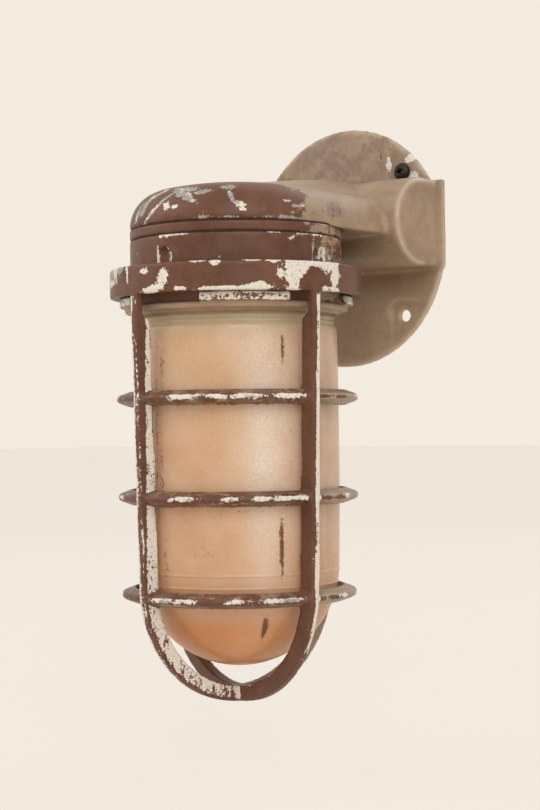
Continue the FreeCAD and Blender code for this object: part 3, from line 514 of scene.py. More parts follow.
        metal = maths(tree, "MULTIPLY", maths(tree, "MULTIPLY", bare, chip), 0.5)
        gloss = maths(tree, "MULTIPLY_ADD", shade, self.roughness_drift, self.paint_roughness)
        gloss = add(tree, "Mix", {0: chip, 2: gloss, 3: self.chip_roughness}, data_type="FLOAT")
        grain = self.clouds(tree, place, self.cast_grain, 2)
        height = maths(tree, "MULTIPLY_ADD", chip, -0.9, maths(tree, "MULTIPLY", grain, 0.28))
        dent = maths(tree, "MULTIPLY_ADD", self.clouds(tree, place, self.dent_size, 3), 0.8, height)
        bump = add(tree, "Bump", {
            "Height": dent, "Strength": self.bump_strength, "Distance": self.bump_depth})
        shader = add(tree, "BsdfPrincipled", {
            "Base Color": mix(tree, chip, paint, under), "Metallic": metal, "Roughness": gloss.outputs[0],
            "Specular IOR Level": self.specular, "Normal": bump.outputs[0]})
        add(tree, "OutputMaterial", {0: shader.outputs[0]})
        return material


@dataclass(frozen=True)
class DustyGlass:
    """Pressed soda-lime glass, etched by weather, under a dusty film whose peach tint partly paints in the
    warm wall seen through the glass.
    """

    name: str = "dusty_pressed_glass"
    tint: str = "fffaf3"
    # Tints of the film: partly the dust's own colour, and partly the warm wall behind, painted in as if seen
    # through the glass.
    dust_and_wall_tint: str = "f6c99d"
    pale_dust_and_wall_tint: str = "f9d9b8"
    # Near-white of the painted highlight on the glass.
    highlight_colour: str = "fff3e4"
    orange_dust_and_wall_tint: str = "e8a468"
    olive_dust: str = "cdc09c"
    stain: str = "7c4e35"
    cloud_size: float = 26 * MM
    speck_size: float = 1.1 * MM
    crust_size: float = 4 * MM
    glass_ior: float = 1.5
    dust_roughness: float = 0.35
    # Share of the dust that shows the light in front, and not the light that comes through it.
    front_share: float = 0.75

    def build(self) -> Material:
        """Make the material.

        Returns:
            A material that reads the attributes stain, film, bright, dome and neck.
        """
        material = empty_material(self.name)
        tree = material.node_tree
        place = add(tree, "TexCoord").outputs["Object"]
        stain, film, painted_highlight, dome, neck = stored(tree, "stain", "film", "painted_highlight", "dome", "neck")
        cloud = noise(tree, place, self.cloud_size, 6.0, 0.6)
        speck = noise(tree, place, self.speck_size, 3.0, 0.7)
        ragged = noise(tree, place, self.crust_size, 6.0, 0.7)

        # How much covers the glass: a drifting film with specks, and crusted stains.
        crust = maths(tree, "MULTIPLY_ADD", speck, 5.0, maths(tree, "MULTIPLY_ADD", ragged, 4.0, -5.7))
        stain = held(tree, stain, 4.2, crust)
        amount = maths(tree, "MULTIPLY_ADD", cloud, 0.25, film)
        amount = held(tree, held(tree, speck, 9.0, -5.2), 0.10, amount)
        cover = maths(tree, "MAXIMUM", amount, stain)

        # The film's colour: its peach is partly painted in for the warm wall seen through the glass, and it
        # turns more orange towards the dome.
        colour = mix(tree, held(tree, cloud, 3.0, -1.0), self.dust_and_wall_tint, self.pale_dust_and_wall_tint)
        # A painted highlight: near-white specks in upright strips over the film.
        grit = held(tree, speck, 2.6, -0.55)
        colour = mix(tree, maths(tree, "MULTIPLY", painted_highlight, grit), colour, self.highlight_colour)
        colour = mix(tree, dome, colour, self.orange_dust_and_wall_tint)
        colour = mix(tree, neck, colour, self.olive_dust)
        colour = mix(tree, stain, colour, self.stain)

        glass = add(tree, "BsdfPrincipled", {
            "Base Color": self.tint, "Roughness": maths(tree, "MULTIPLY_ADD", cloud, 0.2, 0.05),
            "Transmission Weight": 1.0, "IOR": self.glass_ior})
        through = add(tree, "BsdfTranslucent", {"Color": colour})
        front = add(tree, "BsdfPrincipled", {
            "Base Color": colour, "Roughness": self.dust_roughness})
        dusty = add(tree, "MixShader", {
            0: self.front_share, 1: through.outputs[0], 2: front.outputs[0]})
        both = add(tree, "MixShader", {0: cover, 1: glass.outputs[0], 2: dusty.outputs[0]})
        add(tree, "OutputMaterial", {0: both.outputs[0]})
        return material


@dataclass(frozen=True)
class PlainFinish:
    """A hidden or small piece's finish: one colour that drifts a little, over a fine grain."""

    name: str
    colour: str
    drift: str
    roughness: float
    metallic: float = 0.0
    cloud_size: float = 6 * MM
    grain: float = 0.4 * MM
    relief: float = 0.1
    bump_depth: float = 0.1 * MM

    def build(self) -> Material:
        """Make the material.

        Returns:
            The material.
        """
        material = empty_material(self.name)
        tree = material.node_tree
        place = add(tree, "TexCoord").outputs["Object"]
        cloud = noise(tree, place, self.cloud_size, 6.0)
        bump = add(tree, "Bump", {"Height": noise(tree, place, self.grain, 2.0),
                                  "Strength": self.relief, "Distance": self.bump_depth})
        shader = add(tree, "BsdfPrincipled", {
            "Base Color": mix(tree, held(tree, cloud, 3.0, -1.0), self.colour, self.drift),
            "Metallic": self.metallic,
            "Roughness": maths(tree, "MULTIPLY_ADD", cloud, 0.2, self.roughness - 0.1),
            "Normal": bump.outputs[0]})
        add(tree, "OutputMaterial", {0: shader.outputs[0]})
        return material


# Neoprene: moulded sheet, dull, its open edge filmed with the castings' brown enamel.
NEOPRENE = PlainFinish("neoprene_sheet", "2b1c15", "3a271d", 0.75)
# Glazed porcelain: fired white clay, smooth and faintly cream.
PORCELAIN = PlainFinish("glazed_porcelain", "e6e0d2", "d8cfbd", 0.22, relief=0.03)
# Yellow brass: pressed sheet, gone a little dull.
BRASS = PlainFinish("pressed_brass", "b08a42", "8f6c34", 0.36, metallic=1.0)
# Zinc plate: dull, slightly blue grey.
ZINC = PlainFinish("zinc_plated_steel", "a3a29c", "7f7c76", 0.42, metallic=1.0)
# Green-dyed zinc plate, as on a ground screw.
GREEN_ZINC = PlainFinish("green_zinc_steel", "2f6b3a", "24522f", 0.4, metallic=0.6)
# Black phosphate: a screw's dark crystalline coat.
PHOSPHATE = PlainFinish("black_phosphate_steel", "23211f", "34302c", 0.5, metallic=0.6, relief=0.25)
# PVC insulation: extruded, semi-matte.
BLACK_PVC = PlainFinish("black_pvc", "1d1c1b", "262523", 0.5)
WHITE_PVC = PlainFinish("white_pvc", "d9d5c8", "c9c3b3", 0.5)
GREEN_PVC = PlainFinish("green_pvc", "1f6b34", "195528", 0.5)


class Coat(Enum):
    """Which paint shows on a part of the casting, as the attribute coat gives it."""

    BROWN = -1.6
    TAN = 1.6


# From wholly brown to wholly tan.
COAT_SPAN = Coat.TAN.value - Coat.BROWN.value


# ---------------------------------------------------------------- sub-assemblies

@dataclass
class Bracket:
    """The bracket casting: plate, box, arm and hood."""

    grain: float = 1.25 * MM
    smoothing: int = 3
    # Where tan gives way to brown, and over what depth.
    coat_line: float = -104.0
    coat_fade: float = 13.0
    # Turn and height of the chips along the hood's lower edge.
    edge_chips: tuple[float, ...] = (25, 36, 58, 66, 72)
    edge_height: float = 4.6
    # Places on the plate and the arm, each by X, Z or Y, half-width and half-height.
    plate_chips: Marks = (
        (47, 36, 4, 4), (44, 45.5, 3.5, 2.5), (31, 44, 2, 4), (50, 30, 6, 2))
    plate_nick: Mark = (-42, 46, 12, 9)
    plate_tan: Marks = ((40, 40, 12, 14), (0, 34, 30, 3))
    plate_clean: Mark = (41, 40, 11, 13)
    flank_stain: Mark = (54, -82, 14, 9)
    # Chips on the hood, each by turn, height, half-length, half-height and lean.
    primer_chips: Marks = ((1, 11.5, 3, 2), (6.5, 10.8, 2, 1.5), (45, 8, 3, 2))
    hood_chips: Marks = (
        (8, 17.5, 7.5, 2.0, -22), (14, 14.5, 5.5, 1.6, -25), (10, 19.5, 6, 1.3, 0), (22, 17.6, 4.5, 1.2, 8),
        (1, 11.5, 3.0, 1.8, -20), (6.5, 10.8, 1.6, 1.0, 0), (37, 20, 3.4, 1.3, 0), (38.5, 15, 1.1, 3.2, 20),
        (43, 11, 3.2, 1.4, -15), (45, 8, 2.2, 0.7, 0), (-6, 12.5, 15, 1.0, 42), (-19, 14, 2.4, 6.5, -20),
        (-26, 10, 2.0, 5.0, -10), (-12, 19, 5, 1.6, 38), (-44, 15, 5, 3, 30), (-68, 12, 4, 5, 0),
        (-110, 9, 8, 2, 10), (-150, 14, 5, 4, -20), (70, 13, 2.6, 0.6, 0), (76, 10.5, 4.5, 0.8, 0))

    def masks(self, surface: Surface) -> Masks:
        """Where the bracket's paint is tan, brown, chipped or rubbed, and where a highlight and light are
        painted on it.

        Args:
            surface: The casting's points.

        Returns:
            Attribute name to mask.
        """
        hood = ramp(-surface.y, 96, 106)
        plate = ramp(surface.y, -14, -8)
        upper = plate * ramp(surface.z, 27, 34)
        lower = plate * ramp(-surface.z, 32, 36)
        below = plate * ramp(-surface.z, 12, 34)
        flank = ramp(surface.z, 4, 8) * ramp(-surface.z, -18, -13) * surface.spots([self.flank_stain], "y")

        line = surface.y - self.coat_line - 0.35 * (surface.z - 15) + 0.16 * (54 - surface.x)
        coat = np.clip(line / self.coat_fade, Coat.BROWN.value, Coat.TAN.value)
        coat += 2.0 * ramp(surface.z, 23.0, 26.5) * ramp(surface.y, -150, -110)
        coat = np.where(upper > 0.5, 0.8 + 0.6 * surface.spots(self.plate_tan), coat)

        chips = 0.12 + 0.08 * hood + 0.62 * hood * surface.near(self.hood_chips)
        chips += 0.34 * hood * surface.near([(turn, self.edge_height, 5.0, 0.9) for turn in self.edge_chips])
        chips += 0.60 * plate * surface.spots(self.plate_chips)
        # The last term offsets the chips that the painted light low on the plate would add.
        chips += 0.16 * plate * surface.spots([self.plate_nick]) - 0.07 * below
        grime = 0.10 + 0.75 * upper * (1 - 0.9 * surface.spots([self.plate_clean]))
        grime += 0.12 * lower + 1.6 * flank
        pale = 0.6 - 0.9 * hood + 1.8 * hood * surface.near(self.primer_chips)

        # A painted highlight along the rounded edge of the box's end, where the surface turns from the side
        # to the front.
        outward = surface.normals[:, 0] ** 2
        box_edge_highlight = ramp(np.abs(surface.x), 54, 58) * (4 * outward * (1 - outward)) ** 2
        box_edge_highlight *= ramp(-surface.y, 12, 18)
        # Edge wear, a painted highlight on the box's edge, and painted light that lifts the lower plate
        # towards the paler tan.
        edge_wear_and_highlight = surface.convex() * (0.35 + 0.35 * hood + 1.1 * plate) + 0.9 * box_edge_highlight + 0.36 * below
        return {"chips": chips, "edge_wear_and_highlight": edge_wear_and_highlight, "coat": coat, "upright": surface.even(0.2), "pale": pale,
                "grime": grime}

    def build(self, paint: Material) -> None:
        """Dress the casting.

        Args:
            paint: The casting's finish.
        """
        piece = soft_copy("bracket_casting", "painted_bracket", self.grain, self.smoothing)
        dress(piece, paint, self.masks)
        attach(piece, "bracket")


@dataclass
class WallScrew:
    """The black pan-head screw in the upper right seat, with a cross recess."""

    place: tuple[float, float, float] = (0.0395, -0.003, 0.039)
    head_radius: float = 4.7 * MM
    head_height: float = 3.2 * MM
    shank_radius: float = 2.7 * MM
    shank_length: float = 2.9 * MM
    recess_half: float = 2.6 * MM
    recess_width: float = 0.55 * MM
    # How far the recess is turned from upright, in degrees.
    turned: float = 20.0
    steps: int = 40
    # The head's outline, as shares of its radius and height.
    head: tuple[tuple[float, float], ...] = ((0.0, 1.0), (0.55, 0.97), (0.86, 0.72), (1.0, 0.34), (1.0, 0.0))

    def build(self, steel: Material) -> None:
        """Turn the head, sink the recess and seat the screw on the plate.

        Args:
            steel: The screw's finish.
        """
        points = [(share * self.head_radius, rise * self.head_height) for share, rise in self.head]
        points += [(self.shank_radius, 0), (self.shank_radius, -self.shank_length), (0, -self.shank_length)]
        head = finish_mesh("wall_screw", spin_outline(points, self.steps))
        for turn in (0, math.pi / 2):
            self.sink(head, turn)
        head.data.transform(Matrix.Translation(self.place) @ Matrix.Rotation(math.radians(90), 4, "X")
                            @ Matrix.Rotation(math.radians(self.turned), 4, "Z"))
        head.data.materials.append(steel)
        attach(head, "bracket")
        LOG.info("wall screw: %d points", len(head.data.vertices))

    def sink(self, head: Object, turn: float) -> None:
        """Cut one arm pair of the cross recess.

        Args:
            head: The screw.
            turn: The arm's direction about the screw's axis.
        """
        shape = bmesh.new()
        bmesh.ops.create_cube(shape, size=1.0)
        for vert in shape.verts:
            taper = 1.0 if vert.co.z > 0 else 0.35
            vert.co.x *= 2 * self.recess_half * taper
            vert.co.y *= 2 * self.recess_width * (0.6 + 0.4 * taper)
            vert.co.z = self.head_height * (1.3 if vert.co.z > 0 else 0.25)
        bmesh.ops.rotate(shape, verts=shape.verts, cent=(0, 0, 0), matrix=Matrix.Rotation(turn, 3, "Z"))
        cutter = finish_mesh("recess_cutter", shape, smooth=False)
        cut = head.modifiers.new("recess", "BOOLEAN")
        cut.operation = "DIFFERENCE"
        cut.object = cutter
        head.data = applied(head)
        bpy.data.objects.remove(cutter)


@dataclass
class Bands:
    """The socket ring and the globe holder under the hood."""

    grain: float = 0.8 * MM
    smoothing: int = 2
    # Turn of the thumb flutes, and of the worn lines beside and in each.
    flutes: tuple[float, ...] = (0.0, 90.0, 180.0, -90.0)
    flute_lines: tuple[float, ...] = (-4.4, 2.6, 4.6)
    # Turn of the chips along the socket ring's upper edge.
    ring_chips: tuple[float, ...] = (12, 27, 44, 57, 71)
    # Wear on the holder, each by turn, height, half-length, half-height and lean.
    band_tan: Marks = ((85.5, -9, 1.6, 10), (97, -8, 1.4, 9), (79, -2.5, 7, 1.6))
    band_chips: Marks = (
        (-25, -12, 0.8, 4, 10), (-30, -6, 0.8, 3, 5), (11, -3.2, 7, 0.6, 0), (32, -14.6, 2.2, 0.8, 0),
        (60, -3, 4, 0.6, 0), (72, -5, 4.5, 1.0, 25), (100, -14, 4, 2, 0), (-55, -9, 2, 3, 0),
        (-130, -8, 6, 2, 15))

    def ring_masks(self, surface: Surface) -> Masks:
        """Wear of the socket ring's narrow band.

        Args:
            surface: The ring's points.

        Returns:
            Attribute name to mask.
        """
        coat = np.clip((surface.turn - 84) / 10, Coat.BROWN.value, 0.2)
        coat = np.where(np.abs(surface.turn) > 165, 0.6, coat)
        edge = surface.near([(turn, 3.4, 6, 0.7) for turn in self.ring_chips])
        return {"chips": 0.10 + 0.3 * edge, "edge_wear_and_highlight": 0.40 * surface.convex(), "coat": coat,
                "upright": surface.even(0.0), "pale": surface.even(1.0), "grime": surface.even(0.1)}

    def holder_masks(self, surface: Surface) -> Masks:
        """Wear of the globe holder: rubbed flutes, bright lugs and a tan lip.

        Args:
            surface: The holder's points.

        Returns:
            Attribute name to mask.
        """
        lip = ramp(-surface.z, 36.0, 37.0)
        band = ramp(surface.z, -19, -17.5)
        lug = ramp(surface.reach, 55.5, 57.0) * (1 - lip) * (1 - band)
        chips = 0.10 + 0.44 * lug
        lines = [(turn + side, -13, 0.9, 6.5) for turn in self.flutes for side in self.flute_lines]
        chips += 0.52 * band * surface.near(lines)
        chips += 0.50 * band * surface.near([(turn, -2.6, 4.5, 1.4) for turn in self.flutes])
        chips += 0.42 * band * surface.near(self.band_chips)
        coat = np.clip((surface.turn - 92) / 6, Coat.BROWN.value, 0.1)
        coat = np.maximum(coat, Coat.BROWN.value + 1.9 * surface.near(self.band_tan))
        coat = np.maximum(coat, Coat.BROWN.value + COAT_SPAN * lip)
        return {"chips": chips, "edge_wear_and_highlight": surface.convex() * (0.8 - 0.7 * lip), "coat": coat,
                "upright": surface.even(0.0), "pale": surface.even(0.6), "grime": 0.15 + 0.6 * lug}

    def build(self, paint: Material) -> None:
        """Dress both rings.

        Args:
            paint: The castings' finish.
        """
        for node, name, body, masks in (
            ("socket_ring", "painted_socket_ring", "bracket", self.ring_masks),
            ("globe_holder", "painted_globe_holder", "holder", self.holder_masks),
        ):
            piece = soft_copy(node, name, self.grain, self.smoothing)
            dress(piece, paint, masks)
            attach(piece, body)


@dataclass
class Guard:
    """The guard casting: ring, hoops and crossed bows."""

    grain: float = 0.96 * MM
    smoothing: int = 1
    # How far the bows stand turned from front and side, in degrees.
    turn: float = -11.6
    ring_bottom: float = -32.0
    # Half the width of a bow, its outer radius, and the height where its bend starts.
    bow_half_width: float = 3.7
    bow_reach: float = 61.0
    bow_height: float = -177.4
    hoops: tuple[float, ...] = (-83.4, -133.3, -182.9)
    # Wear on the ring, each by turn, height, half-length, half-height and lean.
    ring_white: Marks = (
        (7, -25, 3.2, 6.0, -20), (2, -30, 6.5, 2.4, 12), (-3, -21, 3.5, 1.4, 0), (16, -30.5, 4, 1.3, 0),
        (35, -31.2, 13, 1.3, 0), (51, -30.2, 7, 2.6, 0), (46, -31.4, 12, 1.5, 0), (24, -17.2, 4.5, 1.2, 0),
        (32, -18.5, 2.2, 1.8, 0), (48, -17, 5, 1.1, 0), (57, -17.4, 4, 1.2, 0), (60, -24, 2.0, 3, 0),
        (66, -24, 5.6, 11, 0), (71, -20, 6.0, 4.5, 0), (78, -18.5, 7, 2.8, 0), (85, -20, 6, 3.5, 0),
        (90, -24, 5.5, 10, 0), (83, -31, 3.4, 1.8, 0), (-16, -18, 1.3, 9, 5), (-130, -24, 8, 5, 10),
        (160, -28, 12, 3, 0), (-75, -21, 6, 4, -15), (130, -20, 7, 2, 0))
    ring_grey: Marks = (
        (-36, -21, 12, 6.5, -12), (-52, -19, 8, 4, 0), (-24, -19, 4, 4, 0))
    ring_kept: Marks = (
        (77.5, -26, 3.8, 5.0, 20), (72, -29.5, 2.5, 2.5, 0), (99, -25, 6, 8, 0))
    ring_tan: Mark = (91, -24, 6, 8)
    # Bare streaks on each hoop's nose, by turn and half-length.
    nose_streaks: tuple[tuple[tuple[float, float], ...], ...] = (
        ((14, 9), (31, 6), (46, 11), (65, 12), (-40, 4), (-72, 10), (120, 9), (150, 12), (-110, 9),
         (-150, 14)),
        ((15, 7), (37, 4), (52, 5), (66, 10), (-35, 5), (-62, 8), (104, 6), (138, 12), (-120, 14), (175, 9)),
        ((2, 8), (15, 8), (39, 5), (58, 7), (67, 6), (-50, 9), (100, 5), (128, 9), (-95, 10), (-140, 12)))

    def masks(self, surface: Surface) -> Masks:
        """Wear of the guard, face by face.

        Args:
            surface: The guard's points.

        Returns:
            Attribute name to mask.
        """
        ring = ramp(surface.z, self.ring_bottom - 1.0, self.ring_bottom + 0.5)
        below = 1 - ring
        low = ramp(-surface.z, 195, 225)
        far = ramp(surface.side, 0, 30)
        flat = np.column_stack([surface.x, surface.side])
        outward = np.einsum("ij,ij->i", surface.normals[:, :2], flat / np.maximum(surface.reach, 1)[:, None])

        # The two bows' near ribs: a in front and b on the right.
        angle = math.radians(self.turn)
        across = np.array([math.cos(angle), math.sin(angle)])
        out_a, side_a = flat @ np.array([math.sin(angle), -math.cos(angle)]), flat @ across
        side_b = -out_a
        bow_a = (np.abs(side_a) < self.bow_half_width) * (out_a > 0)
        bow_b = (np.abs(out_a) < self.bow_half_width) * (side_a > 0)
        bow = np.maximum(bow_a, bow_b) * below
        inset = self.bow_reach - np.hypot(out_a, np.maximum(self.bow_height - surface.z, 0))
        flat_side = ramp(surface.normals[:, :2] @ across, 0.55, 0.8) * ramp(inset, 0.4, 2.0)
        chips = surface.even(0.12)
        chips += bow_a * below * (0.47 * flat_side * (1 - 0.10 * low) + 0.22 * ramp(outward, 0.4, 0.8))
        chips += bow_a * below * 0.20 * (side_a < -0.6) * ramp(outward, 0.3, 0.7)
        chips += bow_b * below * (0.46 * (side_b > -0.4) * ramp(outward, 0.3, 0.7) * (1 - 0.7 * low) + 0.04)

        # The hoops, between the bows.
        hoop = surface.even(0.0)
        for height in self.hoops:
            hoop = np.maximum(hoop, 1 - ramp(np.abs(surface.z - height), 3.6, 4.4))
        plain = hoop * (1 - bow)
        nose = plain * ramp(outward, 0.72, 0.95)
        runs = surface.near([
            (turn, height + 0.6, length, 1.5)
            for height, streaks in zip(self.hoops, self.nose_streaks) for turn, length in streaks])
        chips += plain * (0.48 * runs * ramp(outward, 0.5, 0.8) + 0.06 * nose)

        # The ring, worn along its upper edge and in patches.
        chips += 0.40 * ring * ramp(surface.z, -17.6, -16.6) * ramp(outward, 0.2, 0.6)
        white = ring * surface.near(self.ring_white)
        grey = ring * surface.near(self.ring_grey)
        chips += 0.66 * np.maximum(white, grey) - 0.6 * ring * surface.near(self.ring_kept)

        # Tan on the hoops' flanks and right ends, and all over the side next to the wall.
        flank = plain * ramp(np.abs(surface.normals[:, 2]), 0.35, 0.7)
        right_end = ramp(surface.turn, 72, 86) * (surface.turn < 140)
        coat = surface.even(Coat.BROWN.value)
        coat += flank * (1.3 + 1.0 * right_end) + 1.3 * nose * right_end
        coat += ring * 1.9 * surface.near([self.ring_tan])
        coat += bow_a * below * ramp(outward, 0.4, 0.8) * 0.9
        coat = np.maximum(coat, Coat.BROWN.value + COAT_SPAN * far * below)
        pale = 1.0 - 1.35 * grey - 0.75 * nose
        return {"chips": chips, "edge_wear_and_highlight": surface.convex() * (0.9 - 0.5 * far), "coat": coat,
                "upright": bow * (1 - plain), "pale": pale, "grime": 0.12 + 0.5 * flank}

    def build(self, paint: Material) -> None:
        """Dress the guard.

        Args:
            paint: The casting's finish.
        """
        piece = soft_copy("guard", "painted_guard", self.grain, self.smoothing)
        dress(piece, paint, self.masks)
        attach(piece, "guard")


@dataclass
class Globe:
    """The pressed glass globe, turned from its wall's outline."""

    # Radii, heights and the wall, all in millimetres.
    neck: float = 50.0
    neck_inner: float = 46.0
    top: float = -16.1
    shoulder: float = -46.8
    shoulder_drop: float = 3.0
    side: float = 51.6
    belly: float = 52.2
    dome: float = 51.4
    dome_centre: float = -168.8
    wall: float = 4.0
    # Heights of the ridges and mould lines, and their outlines by height and by how far they stand out.
    ridges: tuple[float, ...] = (-43.0, -45.4)
    ridge: tuple[tuple[float, float], ...] = ((1.0, 0.0), (0.4, 0.45), (-0.4, 0.45), (-1.0, 0.0))
    mould_lines: tuple[float, ...] = (-171.1, -177.4)
    mould_line: tuple[tuple[float, float], ...] = ((-0.7, 0.0), (-0.25, 0.3), (0.25, 0.3), (0.7, 0.0))
    steps: int = 128
    # Marks on the glass, each by turn, height, half-length and half-height.
    stains: Marks = (
        (66.5, -59.0, 0.8, 6.5), (64.5, -157.0, 1.1, 13.0), (57.0, -197.0, 1.3, 5.0))
    flecks: Marks = (
        (-5, -70, 2.2, 20), (-6, -120, 2.0, 34), (-4, -165, 2.2, 16), (-10, -110, 1.6, 60))
    grains: Marks = (
        (40, -138, 14, 3), (20, -158, 10, 3), (70, -100, 1.5, 3), (70, -120, 1.2, 7))
    # Upright strips of thicker or thinner dust, and strips of painted highlight, each with its strength.
    film_strips: tuple[tuple[float, Mark], ...] = (
        (0.2, (55, -110, 14, 85)), (-0.22, (100, -110, 8, 80)))
    highlight_strips: tuple[tuple[float, Mark], ...] = (
        (0.95, (55, -105, 11, 80)), (0.25, (74, -110, 8, 60)), (0.42, (102, -115, 13, 75)),
        (0.5, (96, -115, 1.2, 60)))

    def outline(self) -> list[tuple[float, float]]:
        """The wall's outline in millimetres.

        Returns:
            Radius and height of each corner, from the axis inside to the axis outside.
        """
        inner = self.dome - self.wall
        arc = [math.radians(a) for a in np.linspace(-90, 0, 25)]
        points = [(inner * math.cos(a), self.dome_centre + inner * math.sin(a)) for a in arc]
        low = self.shoulder - self.shoulder_drop
        points += [(inner, low - 2 * self.wall), (self.neck_inner, low - self.wall)]
        points += [(self.neck_inner, self.top), (self.neck, self.top)]
        for height in self.ridges:
            points += [(self.neck + stand, height + step) for step, stand in self.ridge]
        points += [(self.neck + 0.3, self.shoulder), (self.neck + 1.2, self.shoulder - 1.2), (self.side, low)]
        for t in np.linspace(0.1, 1.0, 12):
            bulge = 4 * t * (1 - t) * (self.belly - self.side)
            radius = self.side + t * (self.dome - self.side) + bulge
            points.append((radius, low + t * (self.dome_centre - low)))
        outer = [(self.dome * math.cos(a), self.dome_centre + self.dome * math.sin(a)) for a in arc[:-1]]
        for height in self.mould_lines:
            for step, stand in self.mould_line:
                a = math.asin((height + step - self.dome_centre) / self.dome)
                outer.append(((self.dome + stand) * math.cos(a), height + step))
        points += sorted(outer, key=lambda point: -point[1])
        return points

    def masks(self, surface: Surface) -> Masks:
        """Where the glass is stained and filmed, where a highlight is painted on it, and where its tint turns
        orange at the dome and olive at the neck.

        Args:
            surface: The globe's points.

        Returns:
            Attribute name to mask.
        """
        film = 0.56 + 0.15 * ramp(-surface.z, 185, 212)
        film += sum(strength * surface.near([strip]) for strength, strip in self.film_strips)
        # Painted highlight in upright strips, with less orange under it.
        painted_highlight = sum(strength * surface.near([strip]) for strength, strip in self.highlight_strips)
        # The film turns orange towards the dome, a tint partly painted in for the warm wall seen through the
        # glass.
        dome = 0.30 * ramp(-surface.z, 110, 180) + 0.70 * ramp(-surface.z, 186, 200)
        faint = np.maximum(0.36 * surface.near(self.flecks), 0.30 * surface.near(self.grains))
        return {"stain": np.maximum(surface.near(self.stains), faint), "film": film, "painted_highlight": painted_highlight,
                "dome": dome * (1 - 0.7 * painted_highlight), "neck": 0.8 * (1 - ramp(-surface.z, 44, 56))}

    def build(self, glass: Material) -> None:
        """Spin the globe and stain it.

        Args:
            glass: The globe's finish.
        """
        shape = spin_outline([(radius * MM, height * MM) for radius, height in self.outline()], self.steps)
        bmesh.ops.translate(shape, verts=shape.verts, vec=(0, LAMP_AXIS_Y, 0))
        piece = finish_mesh("pressed_globe", shape)
        fine = piece.modifiers.new("fine", "SUBSURF")
        fine.subdivision_type = "SIMPLE"
        fine.levels = fine.render_levels = 1
        piece.data = applied(piece)
        dress(piece, glass, self.masks)
        piece.data.shade_smooth()
        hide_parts("glass_globe")
        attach(piece, "globe")


@dataclass
class Fittings:
    """The small and hidden pieces, which keep their modelled shapes."""

    finishes: dict[str, PlainFinish] = field(default_factory=lambda: {
        "hood_gasket": NEOPRENE, "holder_gasket": NEOPRENE, "globe_gasket": NEOPRENE,
        "lead_bushings": NEOPRENE, "lampholder_body": PORCELAIN, "screw_shell": BRASS,
        "centre_contact": BRASS, "hot_terminal": BRASS, "hot_terminal_screw": BRASS,
        "neutral_terminal": ZINC, "neutral_terminal_screw": ZINC, "lampholder_strap": ZINC,
        "strap_screws": ZINC, "lampholder_screws": ZINC, "guard_set_screw": PHOSPHATE,
        "ground_screw": GREEN_ZINC, "hot_lead": BLACK_PVC, "neutral_lead": WHITE_PVC,
        "ground_lead": GREEN_PVC})

    def build(self) -> None:
        """Give each piece its finish."""
        made = {finish.name: finish.build() for finish in self.finishes.values()}
        for node, finish in self.finishes.items():
            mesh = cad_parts[node].data
            mesh.materials.clear()
            mesh.materials.append(made[finish.name])
        LOG.info("fittings: %d pieces", len(self.finishes))


# ---------------------------------------------------------------- studio

@dataclass
class PhotoView:
    """The camera, level with the globe's middle and to the right of the light."""

    # Where the camera stands in metres, its angles in degrees, and its lens and sensor in millimetres.
    place: tuple[float, float, float] = (0.61965, -0.81446, -0.09801)
    azimuth: float = 39.781
    pitch: float = 0.668
    roll: float = -0.695
    lens: float = 81.77
    sensor: float = 36.0
    # The nearest thing that it shows, in metres.
    nearest: float = 0.01

    def build(self) -> None:
        """Set up the scene's camera."""
        az, pitch, roll = (math.radians(a) for a in (self.azimuth, self.pitch, self.roll))
        level = math.cos(pitch)
        forward = Vector((-math.sin(az) * level, math.cos(az) * level, math.sin(pitch)))
        right = Vector((math.cos(az), math.sin(az), 0))
        above = right.cross(forward)
        turned = math.cos(roll) * right + math.sin(roll) * above
        top = turned.cross(forward)
        camera = bpy.data.objects.new("photo_view", bpy.data.cameras.new("photo_view"))
        camera.data.lens = self.lens
        camera.data.sensor_width = self.sensor
        camera.data.clip_start = self.nearest
        basis = Matrix((turned, top, -forward)).transposed().to_4x4()
        camera.matrix_world = Matrix.Translation(self.place) @ basis
        bpy.context.scene.collection.objects.link(camera)
        bpy.context.scene.camera = camera


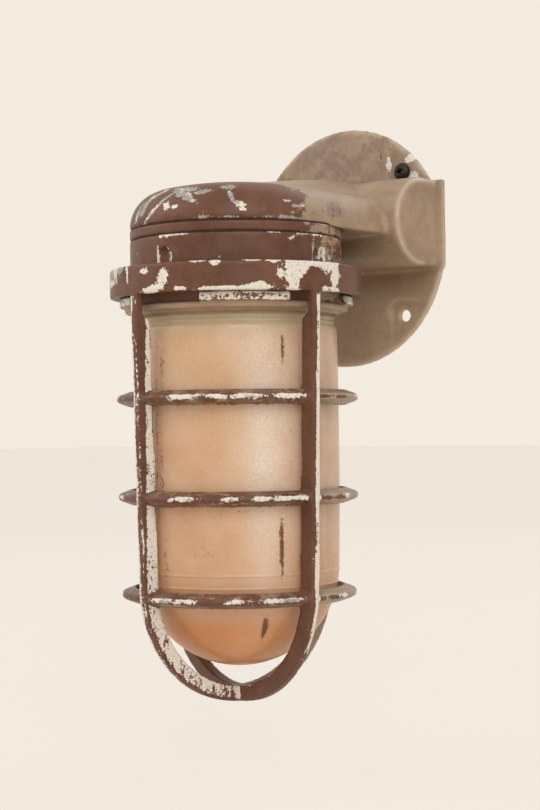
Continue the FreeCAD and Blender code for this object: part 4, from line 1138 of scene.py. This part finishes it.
@dataclass
class Studio:
    """A pale floor, a pale backdrop and soft lamps."""

    floor_height: float = -0.275
    floor_half: float = 12.0
    # How much of the floor the eye sees as backdrop, without shadow.
    floor_glow: float = 0.86
    backdrop: str = "f3ebdf"
    ambient: tuple[float, float, float, float] = (1.0, 0.985, 0.96, 1.0)
    ambient_strength: float = 0.62
    # Each lamp's place, width and power, and the point that all of them face.
    lamps: tuple[tuple[tuple[float, float, float], float, float], ...] = (
        ((1.6, -1.6, 1.3), 1.4, 24.0), ((-1.4, -1.3, 1.1), 1.4, 12.0), ((0.2, 1.4, 1.3), 1.4, 8.0))
    aim: tuple[float, float, float] = (0, LAMP_AXIS_Y, -0.08)

    def build(self) -> None:
        """Make the floor, the world and the lamps."""
        shape = bmesh.new()
        bmesh.ops.create_grid(shape, x_segments=1, y_segments=1, size=self.floor_half)
        bmesh.ops.translate(shape, verts=shape.verts, vec=(0, 0, self.floor_height))
        floor = finish_mesh("floor", shape, smooth=False)
        material = empty_material("pale_floor")
        tree = material.node_tree
        matt = add(tree, "BsdfDiffuse", {"Color": self.backdrop})
        glow = add(tree, "Emission", {"Color": self.backdrop, "Strength": 1.0})
        share = maths(tree, "MULTIPLY", seen_directly(tree), self.floor_glow)
        both = add(tree, "MixShader", {0: share, 1: matt.outputs[0], 2: glow.outputs[0]})
        add(tree, "OutputMaterial", {0: both.outputs[0]})
        floor.data.materials.append(material)

        world = bpy.data.worlds.new("studio")
        world.use_nodes = True
        bpy.context.scene.world = world
        tree = world.node_tree
        tree.nodes.clear()
        soft = add(tree, "Background", {"Color": self.ambient, "Strength": self.ambient_strength})
        shown = add(tree, "Background", {"Color": self.backdrop, "Strength": 1.0})
        both = add(tree, "MixShader", {
            0: seen_directly(tree), 1: soft.outputs[0], 2: shown.outputs[0]})
        add(tree, "OutputWorld", {0: both.outputs[0]})

        for number, (place, size, power) in enumerate(self.lamps):
            data = bpy.data.lights.new(f"softbox_{number}", "AREA")
            data.size = size
            data.energy = power
            lamp = bpy.data.objects.new(f"softbox_{number}", data)
            aim = Vector(self.aim) - Vector(place)
            lamp.matrix_world = Matrix.Translation(place) @ aim.to_track_quat("-Z", "Y").to_matrix().to_4x4()
            bpy.context.scene.collection.objects.link(lamp)
        bpy.context.scene.view_settings.view_transform = "Standard"


def main() -> None:
    """Build the light's pieces in order, then the studio."""
    logging.basicConfig(level=logging.INFO, format="%(message)s")
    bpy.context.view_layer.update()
    PhotoView().build()
    paint = PaintedCasting().build()
    Bracket().build(paint)
    WallScrew().build(PHOSPHATE.build())
    Bands().build(paint)
    Guard().build(paint)
    Globe().build(DustyGlass().build())
    Fittings().build()
    Studio().build()


if __name__ == "__main__":
    main()
